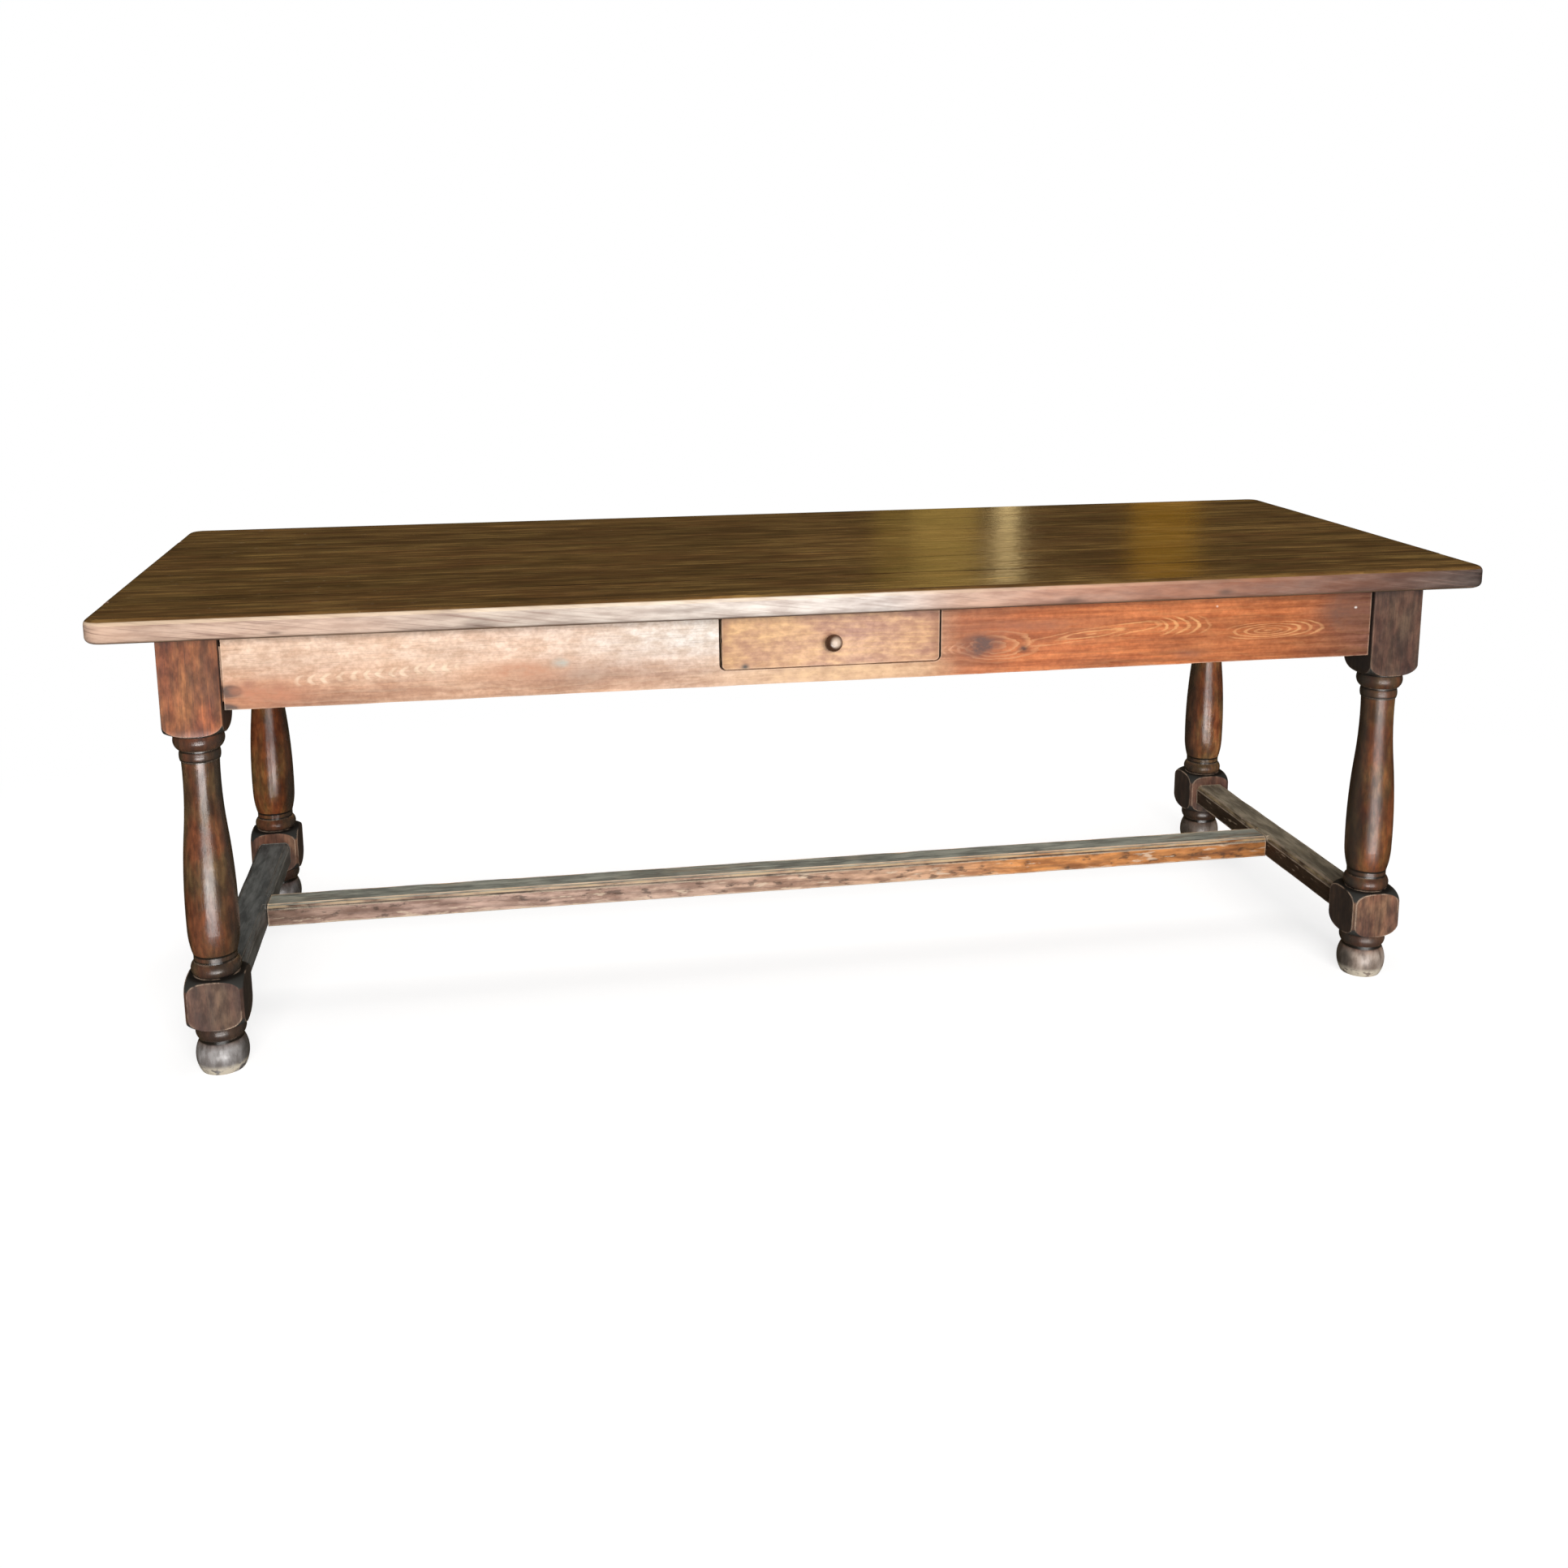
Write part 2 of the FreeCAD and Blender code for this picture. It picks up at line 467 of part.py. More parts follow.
# Aprons: shoulders a little open at the legs, a tenon at each end, and a groove for the buttons inside.
def apron(label, plane, x, y, clear, inner_face, opening=False):
    board = new_body(f"body_{label}", x, y, APRON_BOTTOM)
    reach = f"({clear} - sizes.shoulder_gap)"
    top = "sizes.apron_height"
    outline = new_sketch(board, f"outline_{label}", plane)
    if opening:
        # The drawer opening is a notch in the upper edge, rounded at its lower corners
        side, sill, radius = "sizes.opening_width / 2", "sizes.strip_height", "sizes.opening_radius"
        draw(
            outline,
            (f"-{reach}", "0"),
            (reach, "0"),
            (reach, top),
            (side, top),
            (side, f"{sill} + {radius}"),
            corner_arc(side, sill, 0, 1, -1, 0, radius),
            (f"-{side} + {radius}", sill),
            corner_arc(f"-{side}", sill, 1, 0, 0, 1, radius),
            (f"-{side}", top),
            (f"-{reach}", top),
        )
    else:
        rectangle(outline, "0", f"{top} / 2", f"2 * {reach}", top)
    extrude(board, outline, "Pad", "sizes.apron_thickness")
    # A tenon sketch reaches as far back into the apron as it stands out of it
    tenon_run = "(sizes.shoulder_gap + sizes.tenon_length)"
    for end in (-1, 1):
        tenon = new_sketch(board, f"tenon_{label}_{'left' if end < 0 else 'right'}", plane)
        rectangle(tenon, f"{end} * {reach}", TENON_MIDDLE, f"2 * {tenon_run}", TENON_HEIGHT)
        extrude(board, tenon, "Pad", "sizes.tenon_thickness")
    groove = new_sketch(board, f"groove_{label}", plane, f"{inner_face} * sizes.apron_thickness / 2")
    rectangle(groove, "0", f"{top} - sizes.button_groove_drop - sizes.button_groove_height / 2",
              f"2 * {reach}", "sizes.button_groove_height")
    extrude(board, groove, "Pocket", "2 * sizes.button_groove_depth")
    return keep(board, label)


# Both long aprons are mortised for the stub tenons of the drawer runners
RUNNER_MIDDLE = f"((sizes.runner_bearing_width - {RUNNER_OUTER}) / 2)"
RUNNER_TENON_WIDTH = f"(sizes.runner_bearing_width + {RUNNER_OUTER} - 2 * sizes.runner_tenon_set)"
RUNNER_X = {-1: "(-sizes.opening_width / 2 + sizes.drawer_gap_left)",
            1: "(sizes.opening_width / 2 - sizes.drawer_gap_right)"}

for apron_label, apron_side in (("front_apron", -1), ("back_apron", 1)):
    long_apron = apron(apron_label, "XZ_Plane", "0", f"{apron_side} * ({LEG_Y} + {APRON_OUT})",
                       LONG_CLEAR, apron_side, opening=apron_side < 0)
    for runner_side, runner_x in RUNNER_X.items():
        mortise(long_apron, f"runner_mortise_{apron_label}_{'left' if runner_side < 0 else 'right'}",
                "XZ_Plane", f"{apron_side} * sizes.apron_thickness / 2",
                f"({runner_x} - ({runner_side}) * {RUNNER_MIDDLE})", "sizes.strip_height / 2",
                RUNNER_TENON_WIDTH, "sizes.runner_tenon_height",
                "sizes.runner_tenon_length + sizes.mortise_end_gap")

for apron_label, apron_side in (("left_apron", -1), ("right_apron", 1)):
    apron(apron_label, "YZ_Plane", f"{apron_side} * ({LEG_X} + {APRON_OUT})", "0", SHORT_CLEAR, -apron_side)


# Drawer runners: a bearing under each drawer side with an upright guide beside it, stub-tenoned at both ends.
# They stand above the sill by the radius of its corners, so that the drawer sides pass the rounding.
for runner_label, runner_side in (("left_runner", -1), ("right_runner", 1)):
    runner = new_body(f"body_{runner_label}", RUNNER_X[runner_side], "0", RUNNER_TOP)
    inward = -runner_side
    runner_section = new_sketch(runner, f"section_{runner_label}", "XZ_Plane")
    draw(
        runner_section,
        (f"{inward} * sizes.runner_bearing_width", "0"),
        (f"{inward} * sizes.runner_bearing_width", "-sizes.runner_height"),
        (f"{-inward} * {RUNNER_OUTER}", "-sizes.runner_height"),
        (f"{-inward} * {RUNNER_OUTER}", "sizes.guide_height"),
        (f"{-inward} * sizes.guide_clearance", "sizes.guide_height"),
        (f"{-inward} * sizes.guide_clearance", "0"),
    )
    extrude(runner, runner_section, "Pad", f"2 * {APRON_INNER_Y}")
    runner_tenon = new_sketch(runner, f"tenon_{runner_label}", "XZ_Plane")
    rectangle(runner_tenon, f"{inward} * {RUNNER_MIDDLE}", "-sizes.opening_radius - sizes.strip_height / 2",
              RUNNER_TENON_WIDTH, "sizes.runner_tenon_height")
    extrude(runner, runner_tenon, "Pad", f"2 * ({APRON_INNER_Y} + sizes.runner_tenon_length)")
    keep(runner, runner_label)

# Drawer stops: two blocks glued on the runners, just behind the closed drawer.
STOP_Y = f"({FACE_Y} + sizes.drawer_depth + sizes.run_clearance + sizes.stop_length / 2)"
STOP_WIDTH = "(sizes.runner_bearing_width + sizes.guide_clearance)"
stops = []
for stop_side, stop_x in RUNNER_X.items():
    stop_middle = f"({stop_x} - ({stop_side}) * (sizes.runner_bearing_width - sizes.guide_clearance) / 2)"
    stop_name = f"stop_{'left' if stop_side < 0 else 'right'}"
    stops.append(block(stop_name, STOP_WIDTH, "sizes.stop_length", "sizes.stop_height",
                       stop_middle, STOP_Y, RUNNER_TOP))
keep(group("stop_pair", stops), "drawer_stops")

# Buttons: small wooden blocks screwed up into the top, with a tongue in the groove of each apron,
# so that the boards can shrink and swell across the table. The long aprons have theirs at the thirds
# of the stretch on each side of the drawer.
BUTTON_TOP = f"({LEG_LENGTH} - sizes.button_draw)"
BUTTON_BOTTOM = f"({BUTTON_TOP} - sizes.button_height)"
TONGUE_BOTTOM = f"({LEG_LENGTH} - sizes.button_groove_drop - sizes.tongue_thickness)"
SIDE_OF_OPENING = f"(({LONG_CLEAR} - sizes.opening_width / 2) / 3)"
button_places = []
for along in (-2, -1, 1, 2):
    step_x = f"({along} * {SIDE_OF_OPENING} + ({1 if along > 0 else -1}) * sizes.opening_width / 2)"
    button_places += [("y", step_x, -1), ("y", step_x, 1)]
for along in (-1, 1):
    step_y = f"({along} * {BOARD_WIDTH} / 2)"
    button_places += [("x", step_y, -1), ("x", step_y, 1)]

buttons, screws, pilot_holes = [], [], []
for number, (across, along_place, button_side) in enumerate(button_places, start=1):
    inner_face = APRON_INNER_Y if across == "y" else APRON_INNER_X
    body_middle = f"({button_side} * ({inner_face} - sizes.button_reach / 2))"
    tongue_out = "(sizes.button_groove_depth - sizes.mortise_end_gap)"
    tongue_middle = f"({button_side} * ({inner_face} + ({tongue_out} - sizes.button_reach) / 2))"
    tongue_run = f"(sizes.button_reach + {tongue_out})"
    middle, tongue_at = (along_place, body_middle), (along_place, tongue_middle)
    plan, run = ("sizes.button_width", "sizes.button_reach"), ("sizes.button_width", tongue_run)
    if across == "x":
        middle, tongue_at, plan, run = middle[::-1], tongue_at[::-1], plan[::-1], run[::-1]
    button = doc.addObject("Part::MultiFuse", f"button_{number}")
    button.Shapes = [
        block(f"button_body_{number}", *plan, "sizes.button_height", *middle, BUTTON_BOTTOM),
        block(f"button_tongue_{number}", *run, "sizes.tongue_thickness", *tongue_at, TONGUE_BOTTOM),
    ]
    bore = {"Radius": "sizes.screw_radius + sizes.joint_fit",
            "Height": "sizes.button_height + sizes.button_draw + sizes.screw_bite + sizes.mortise_end_gap"}
    hole = primitive("Cylinder", f"pilot_{number}", bore, *middle, BUTTON_BOTTOM)
    pilot_holes.append(hole)
    buttons.append(cut(f"bored_button_{number}", button, hole))
    shank = {"Radius": "sizes.screw_radius",
             "Height": "sizes.button_height + sizes.button_draw + sizes.screw_bite"}
    head = {"Radius": "sizes.screw_head_radius", "Height": "sizes.screw_head_height"}
    screw = doc.addObject("Part::MultiFuse", f"screw_{number}")
    screw.Shapes = [
        primitive("Cylinder", f"shank_{number}", shank, *middle, BUTTON_BOTTOM),
        primitive("Cylinder", f"head_{number}", head, *middle, f"{BUTTON_BOTTOM} - sizes.screw_head_height"),
    ]
    screws.append(screw)
keep(group("button_set", buttons), "top_buttons")
keep(group("screw_set", screws), "button_screws")

# Table top: one slab outline with rounded corners and arrises, ripped into boards
# that are grooved for loose tongues and bored for the button screws.
slab = new_body("top_slab", "0", "0", LEG_LENGTH)
half_length, half_width = "sizes.table_length / 2", "sizes.table_width / 2"
round_off = "sizes.top_corner_radius"
slab_outline = new_sketch(slab, "slab_outline", "XY_Plane")
draw(
    slab_outline,
    (f"-{half_length} + {round_off}", f"-{half_width}"),
    (f"{half_length} - {round_off}", f"-{half_width}"),
    corner_arc(half_length, f"-{half_width}", -1, 0, 0, 1, round_off),
    (half_length, f"{half_width} - {round_off}"),
    corner_arc(half_length, half_width, 0, -1, -1, 0, round_off),
    (f"-{half_length} + {round_off}", half_width),
    corner_arc(f"-{half_length}", half_width, 1, 0, 0, -1, round_off),
    (f"-{half_length}", f"-{half_width} + {round_off}"),
    corner_arc(f"-{half_length}", f"-{half_width}", 0, 1, 1, 0, round_off),
)
slab_pad = extrude(slab, slab_outline, "Pad", "sizes.top_thickness", "One side")
doc.recompute()
flat_faces = [f"Face{n}" for n, face in enumerate(slab_pad.Shape.Faces, start=1)
              if abs(face.normalAt(0, 0).z) > 0.99]
slab_round = slab.newObject("PartDesign::Fillet", "slab_round")
slab_round.Base = (slab_pad, flat_faces)
slab_round.setExpression("Radius", "sizes.top_edge_round")

board_total = int(value(sheet, "board_count"))
SPLINE_LENGTH = "(sizes.table_length - 2 * sizes.spline_margin)"
SPLINE_Z = f"({LEG_LENGTH} + (sizes.top_thickness - sizes.spline_thickness) / 2)"
splines, slots = [], []
for seam in range(1, board_total):
    seam_y = f"(-sizes.table_width / 2 + {seam} * {BOARD_WIDTH})"
    splines.append(block(f"spline_{seam}", SPLINE_LENGTH, "2 * sizes.spline_depth", "sizes.spline_thickness",
                         "0", seam_y, SPLINE_Z))
    slots.append(block(f"slot_{seam}", f"{SPLINE_LENGTH} + 2 * sizes.joint_fit",
                       "2 * (sizes.spline_depth + sizes.joint_fit)",
                       "sizes.spline_thickness + 2 * sizes.joint_fit",
                       "0", seam_y, f"{SPLINE_Z} - sizes.joint_fit"))
keep(group("spline_set", splines), "board_splines")
boring = group("board_boring", slots + pilot_holes)

for number in range(1, board_total + 1):
    # The two outer boards lose half a gap on their inner edge only
    outward = {1: -1, board_total: 1}.get(number, 0)
    strip_width = f"({BOARD_WIDTH} - sizes.board_gap * (1 - {abs(outward)} / 2))"
    board_middle = f"(-sizes.table_width / 2 + ({number} - 0.5) * {BOARD_WIDTH})"
    strip_y = f"({board_middle} + ({outward}) * sizes.board_gap / 4)"
    strip = block(f"strip_{number}", "sizes.table_length", strip_width, "sizes.top_thickness",
                  "0", strip_y, LEG_LENGTH)
    board = doc.addObject("Part::Common", f"board_{number}")
    board.Base = slab
    board.Tool = strip
    keep(cut(f"grooved_board_{number}", board, boring), f"top_board_{number}")


# Drawer: the sides are dovetailed into the back of the front, the back is housed between the sides,
# and the bottom slides in grooves from behind, under the back.
TAIL_MIDDLES = ["sizes.drawer_side_height * 3 / 4", "sizes.drawer_side_height / 4"]
TAIL_END = "(sizes.drawer_front_thickness - sizes.tail_length)"
FRONT_HEIGHT = f"({LEG_LENGTH} - sizes.drawer_gap_top - {FRONT_Z})"
SIDE_RISE = "(sizes.opening_radius + sizes.run_clearance - sizes.drawer_gap_bottom)"
HALF_FRONT = "(sizes.drawer_front_thickness / 2)"

front = new_body("body_drawer_front", DRAWER_X, f"{FACE_Y} + {HALF_FRONT}", FRONT_Z)
front_outline = new_sketch(front, "outline_drawer_front", "XZ_Plane")
half_drawer, soft = f"{DRAWER_WIDTH} / 2", "sizes.drawer_corner_radius"
draw(
    front_outline,
    (f"-{half_drawer} + {soft}", "0"),
    (f"{half_drawer} - {soft}", "0"),
    corner_arc(half_drawer, "0", -1, 0, 0, 1, soft),
    (half_drawer, FRONT_HEIGHT),
    (f"-{half_drawer}", FRONT_HEIGHT),
    (f"-{half_drawer}", soft),
    corner_arc(f"-{half_drawer}", "0", 0, 1, 1, 0, soft),
)
extrude(front, front_outline, "Pad", "sizes.drawer_front_thickness")
for end_name, end in (("left", -1), ("right", 1)):
    for number, tail_middle in enumerate(TAIL_MIDDLES, start=1):
        socket = new_sketch(front, f"socket_{end_name}_{number}", "YZ_Plane", f"{end} * {half_drawer}")
        middle_z = f"({tail_middle} + {SIDE_RISE})"
        wide = "(sizes.tail_width / 2 + sizes.joint_fit)"
        narrow = "(sizes.tail_root_width / 2 + sizes.joint_fit)"
        deep = f"({HALF_FRONT} - sizes.tail_length - sizes.joint_fit)"
        draw(
            socket,
            (HALF_FRONT, f"{middle_z} - {narrow}"),
            (HALF_FRONT, f"{middle_z} + {narrow}"),
            (deep, f"{middle_z} + {wide}"),
            (deep, f"{middle_z} - {wide}"),
        )
        extrude(front, socket, "Pocket", "2 * (sizes.drawer_side_thickness + sizes.joint_fit)")
BOTTOM_MIDDLE = f"(sizes.drawer_bottom_rise + sizes.drawer_bottom_thickness / 2 + {SIDE_RISE})"
mortise(front, "groove_drawer_front", "XZ_Plane", f"-{HALF_FRONT}", "0", BOTTOM_MIDDLE,
        DRAWER_INNER, "sizes.drawer_bottom_thickness", "sizes.drawer_groove_depth")
knob_hole = new_sketch(front, "hole_for_knob", "XZ_Plane")
knob_centre = FreeCAD.Vector(0, value(knob_hole, "sizes.knob_rise"), 0)
hole_radius = "sizes.knob_spigot_radius + sizes.joint_fit"
hole_size = value(knob_hole, hole_radius)
circle = knob_hole.addGeometry(Part.Circle(knob_centre, FreeCAD.Vector(0, 0, 1), hole_size))
fix_point(knob_hole, circle, 3, "0", "sizes.knob_rise")
hole_rule = knob_hole.addConstraint(Sketcher.Constraint("Radius", circle, hole_size))
knob_hole.setExpression(f"Constraints[{hole_rule}]", hole_radius)
extrude(front, knob_hole, "Pocket", "2 * sizes.drawer_front_thickness")
keep(front, "drawer_front")

BACK_Y = "(sizes.drawer_depth - sizes.drawer_back_thickness / 2)"
BACK_BOTTOM = "(sizes.drawer_bottom_rise + sizes.drawer_bottom_thickness + sizes.joint_fit)"
BACK_HEIGHT = f"(sizes.drawer_side_height - sizes.drawer_back_drop - {BACK_BOTTOM})"
for side_label, side_end in (("drawer_left_side", -1), ("drawer_right_side", 1)):
    side_x = f"{DRAWER_X} + {side_end} * ({DRAWER_WIDTH} - sizes.drawer_side_thickness) / 2"
    side = new_body(f"body_{side_label}", side_x, FACE_Y, SIDE_Z)
    side_outline = new_sketch(side, f"outline_{side_label}", "YZ_Plane")
    shoulder = "sizes.drawer_front_thickness"
    tails = []
    for tail_middle in TAIL_MIDDLES:
        tails += [
            (shoulder, f"{tail_middle} + sizes.tail_root_width / 2"),
            (TAIL_END, f"{tail_middle} + sizes.tail_width / 2"),
            (TAIL_END, f"{tail_middle} - sizes.tail_width / 2"),
            (shoulder, f"{tail_middle} - sizes.tail_root_width / 2"),
        ]
    draw(
        side_outline,
        (shoulder, "0"),
        ("sizes.drawer_depth", "0"),
        ("sizes.drawer_depth", "sizes.drawer_side_height"),
        (shoulder, "sizes.drawer_side_height"),
        *tails,
    )
    extrude(side, side_outline, "Pad", "sizes.drawer_side_thickness")
    side_inner = f"{-side_end} * sizes.drawer_side_thickness / 2"
    groove_run = "(sizes.drawer_depth - sizes.drawer_front_thickness)"
    mortise(side, f"groove_{side_label}", "YZ_Plane", side_inner,
            "(sizes.drawer_depth + sizes.drawer_front_thickness) / 2",
            "sizes.drawer_bottom_rise + sizes.drawer_bottom_thickness / 2",
            groove_run, "sizes.drawer_bottom_thickness", "sizes.drawer_groove_depth")
    mortise(side, f"housing_{side_label}", "YZ_Plane", side_inner,
            BACK_Y, f"{BACK_BOTTOM} + {BACK_HEIGHT} / 2",
            "sizes.drawer_back_thickness", BACK_HEIGHT, "sizes.housing_depth")
    keep(side, side_label)

keep(block("back_panel", f"{DRAWER_INNER} + 2 * (sizes.housing_depth - sizes.joint_fit)",
           "sizes.drawer_back_thickness", BACK_HEIGHT,
           DRAWER_X, f"({FACE_Y} + {BACK_Y})", f"{SIDE_Z} + {BACK_BOTTOM}"), "drawer_back")

BOTTOM_Z = f"{SIDE_Z} + sizes.drawer_bottom_rise"
GROOVE_REACH = "(sizes.drawer_groove_depth - sizes.bottom_end_gap)"
panel_run = "(sizes.drawer_depth - sizes.drawer_front_thickness)"
panel = block("bottom_panel", f"{DRAWER_INNER} + 2 * {GROOVE_REACH}", panel_run,
              "sizes.drawer_bottom_thickness",
              DRAWER_X, f"({FACE_Y} + (sizes.drawer_depth + sizes.drawer_front_thickness) / 2)", BOTTOM_Z)
tongue = block("bottom_tongue", f"{DRAWER_INNER} - 2 * sizes.bottom_end_gap", f"2 * {GROOVE_REACH}",
               "sizes.drawer_bottom_thickness",
               DRAWER_X, f"({FACE_Y} + sizes.drawer_front_thickness)", BOTTOM_Z)
drawer_bottom = doc.addObject("Part::MultiFuse", "bottom_with_tongue")
drawer_bottom.Shapes = [panel, tongue]
drawer_bottom.Refine = True
keep(drawer_bottom, "drawer_bottom")

# Knob: turned in one piece with the spigot that is glued through the drawer front.
knob = new_body("body_knob", DRAWER_X, FACE_Y, f"{FRONT_Z} + sizes.knob_rise")
knob.Placement.Rotation = FreeCAD.Rotation(FreeCAD.Vector(1, 0, 0), 90)
knob_profile = new_sketch(knob, "profile_knob", "XZ_Plane")
draw(
    knob_profile,
    ("0", "-sizes.drawer_front_thickness"),
    ("sizes.knob_spigot_radius", "-sizes.drawer_front_thickness"),
    ("sizes.knob_spigot_radius", "0"),
    ("sizes.knob_base_radius", "0"),
    ("sizes.knob_base_radius", "sizes.knob_base_height"),
    ("sizes.knob_neck_radius", "sizes.knob_neck_rise", "sizes.knob_base_radius", "sizes.knob_head_rise"),
    (f"sizes.knob_base_radius + (sizes.knob_radius - sizes.knob_base_radius) * {QUARTER}",
     f"sizes.knob_widest - (sizes.knob_widest - sizes.knob_head_rise) * {QUARTER}",
     "sizes.knob_radius", "sizes.knob_widest"),
    (f"sizes.knob_tip_radius + (sizes.knob_radius - sizes.knob_tip_radius) * {QUARTER}",
     f"sizes.knob_widest + (sizes.knob_length - sizes.knob_widest) * {QUARTER}",
     "sizes.knob_tip_radius", "sizes.knob_length"),
    ("0", "sizes.knob_length"),
)
turn(knob, knob_profile, "Revolution")
keep(knob, "drawer_knob")

doc.recompute()

# Every object has to be sound before anything is written
for item in doc.Objects:
    if {"Invalid", "Error"} & set(item.State):
        raise RuntimeError(f"{item.Label} failed: {item.State}")
for node in nodes:
    if node.Shape.isNull() or not node.Shape.isValid():
        raise RuntimeError(f"{node.Label} has no valid shape")

os.makedirs("parts", exist_ok=True)
for node in nodes:
    node.Shape.exportStep(f"parts/{node.Label}.step")
    print(node.Label, len(node.Shape.Solids), round(node.Shape.Volume))
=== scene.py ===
import bpy
import math
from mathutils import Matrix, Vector


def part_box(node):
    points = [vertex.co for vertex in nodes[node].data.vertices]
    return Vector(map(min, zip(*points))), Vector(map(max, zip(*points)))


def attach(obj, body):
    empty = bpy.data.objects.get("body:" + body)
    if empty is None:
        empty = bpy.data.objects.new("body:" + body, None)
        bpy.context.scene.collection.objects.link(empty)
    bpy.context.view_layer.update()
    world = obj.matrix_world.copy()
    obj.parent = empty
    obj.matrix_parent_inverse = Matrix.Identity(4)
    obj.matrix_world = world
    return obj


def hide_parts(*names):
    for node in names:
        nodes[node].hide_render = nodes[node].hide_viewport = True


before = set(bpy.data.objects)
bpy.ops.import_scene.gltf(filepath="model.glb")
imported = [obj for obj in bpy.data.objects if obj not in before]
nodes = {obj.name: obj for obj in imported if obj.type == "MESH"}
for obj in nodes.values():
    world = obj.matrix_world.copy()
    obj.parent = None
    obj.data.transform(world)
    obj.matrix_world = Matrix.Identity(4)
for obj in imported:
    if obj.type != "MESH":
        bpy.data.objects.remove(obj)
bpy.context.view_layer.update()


# Studio: the table stands on a pale floor in front of a white background.
# One wide lamp stands far off in front like an open barn door, one hangs overhead, one fills in behind.
# The waxed legs mirror the foot of the door and its image in the floor, and the top mirrors tall windows.
def add(tree, kind, sockets=None, **settings):
    """Puts a shader node into a tree. A socket takes a plain value or the output of another node."""
    made = tree.nodes.new("ShaderNode" + kind)
    for name, setting in settings.items():
        setattr(made, name, setting)
    for name, value in (sockets or {}).items():
        if isinstance(value, bpy.types.NodeSocket):
            tree.links.new(value, made.inputs[name])
        else:
            made.inputs[name].default_value = value
    return made


def calc(tree, operation, *values):
    return add(tree, "Math", dict(enumerate(values)), operation=operation).outputs[0]


def vector(tree, operation, first, second):
    return add(tree, "VectorMath", {0: first, 1: second}, operation=operation).outputs[0]


def length(tree, value):
    return add(tree, "VectorMath", {0: value}, operation="LENGTH").outputs["Value"]


def fade(tree, value, start, end):
    """A soft step from 0 at start to 1 at end; start may be the larger of the two."""
    sockets = {"Value": value, "From Min": start, "From Max": end}
    return add(tree, "MapRange", sockets, interpolation_type="SMOOTHSTEP").outputs["Result"]


def blend(tree, share, under, over, kind="MIX"):
    """Mixes two colours, each of them plain or the output of another node."""
    colours = [(*colour, 1) if isinstance(colour, tuple) else colour for colour in (under, over)]
    sockets = {0: share, 6: colours[0], 7: colours[1]}
    return add(tree, "Mix", sockets, data_type="RGBA", blend_type=kind).outputs[2]


def new_material(name):
    material = bpy.data.materials.new(name)
    material.use_nodes = True
    material.node_tree.nodes.clear()
    return material, material.node_tree


CAMERA_PLACE = (-0.506, -2.846, 1.249)
CAMERA_TURN = (78.98, 0.27, -9.93)
SENSOR_WIDTH = 36
LENS = 36.44
FRAME_SHIFT = -0.126

camera_data = bpy.data.cameras.new("camera")
camera_data.sensor_width = SENSOR_WIDTH
camera_data.lens = LENS
camera_data.shift_y = FRAME_SHIFT
camera = bpy.data.objects.new("camera", camera_data)
camera.location = CAMERA_PLACE
camera.rotation_euler = [math.radians(angle) for angle in CAMERA_TURN]
bpy.context.scene.collection.objects.link(camera)
bpy.context.scene.camera = camera
bpy.context.scene.view_settings.view_transform = "Standard"

FLOOR_SIZE = 60
FLOOR_SEEN = (0.5, 0.5, 0.5)
FLOOR_BOUNCE = (0.30, 0.29, 0.28)
FLOOR_GLOW = 0.74
SHADOW_REACH = (2.0, 1.3, 1.0)
SHADOW_END = (0.75, 1.35)

bpy.ops.object.select_all(action="DESELECT")
bpy.ops.mesh.primitive_plane_add(size=FLOOR_SIZE)
floor = bpy.context.object
floor.name = "floor"
floor.visible_glossy = False
floor.visible_shadow = False
floor_paint, tree = new_material("pale_floor")
path = add(tree, "LightPath").outputs
seen = calc(tree, "MAXIMUM", path["Is Camera Ray"], path["Is Transmission Ray"])
matt = add(tree, "BsdfDiffuse", {"Color": blend(tree, seen, FLOOR_BOUNCE, FLOOR_SEEN)}).outputs[0]
glow = add(tree, "Emission", {"Strength": calc(tree, "MULTIPLY", seen, FLOOR_GLOW)}).outputs[0]
near_floor = add(tree, "AddShader", {0: matt, 1: glow}).outputs[0]
spread = vector(tree, "DIVIDE", add(tree, "TexCoord").outputs["Object"], SHADOW_REACH)
away = calc(tree, "MULTIPLY", fade(tree, length(tree, spread), *SHADOW_END), seen)
white = add(tree, "Emission", {"Strength": 1.0}).outputs[0]
shown = add(tree, "MixShader", {0: away, 1: near_floor, 2: white}).outputs[0]
add(tree, "OutputMaterial", {"Surface": shown})
floor.data.materials.append(floor_paint)

ROOM_LIGHT = (0.15, 0.15, 0.15)
ROOM_GLOSS = (0.050, 0.034, 0.014)
WHITE = (1.0, 1.0, 1.0)

world = bpy.data.worlds.new("white_background")
bpy.context.scene.world = world
world.use_nodes = True
tree = world.node_tree
tree.nodes.clear()
path = add(tree, "LightPath").outputs
room = blend(tree, path["Is Glossy Ray"], ROOM_LIGHT, ROOM_GLOSS)
seen = calc(tree, "MAXIMUM", path["Is Camera Ray"], path["Is Transmission Ray"])
shown = blend(tree, seen, room, WHITE)
add(tree, "OutputWorld", {"Surface": add(tree, "Background", {"Color": shown}).outputs[0]})


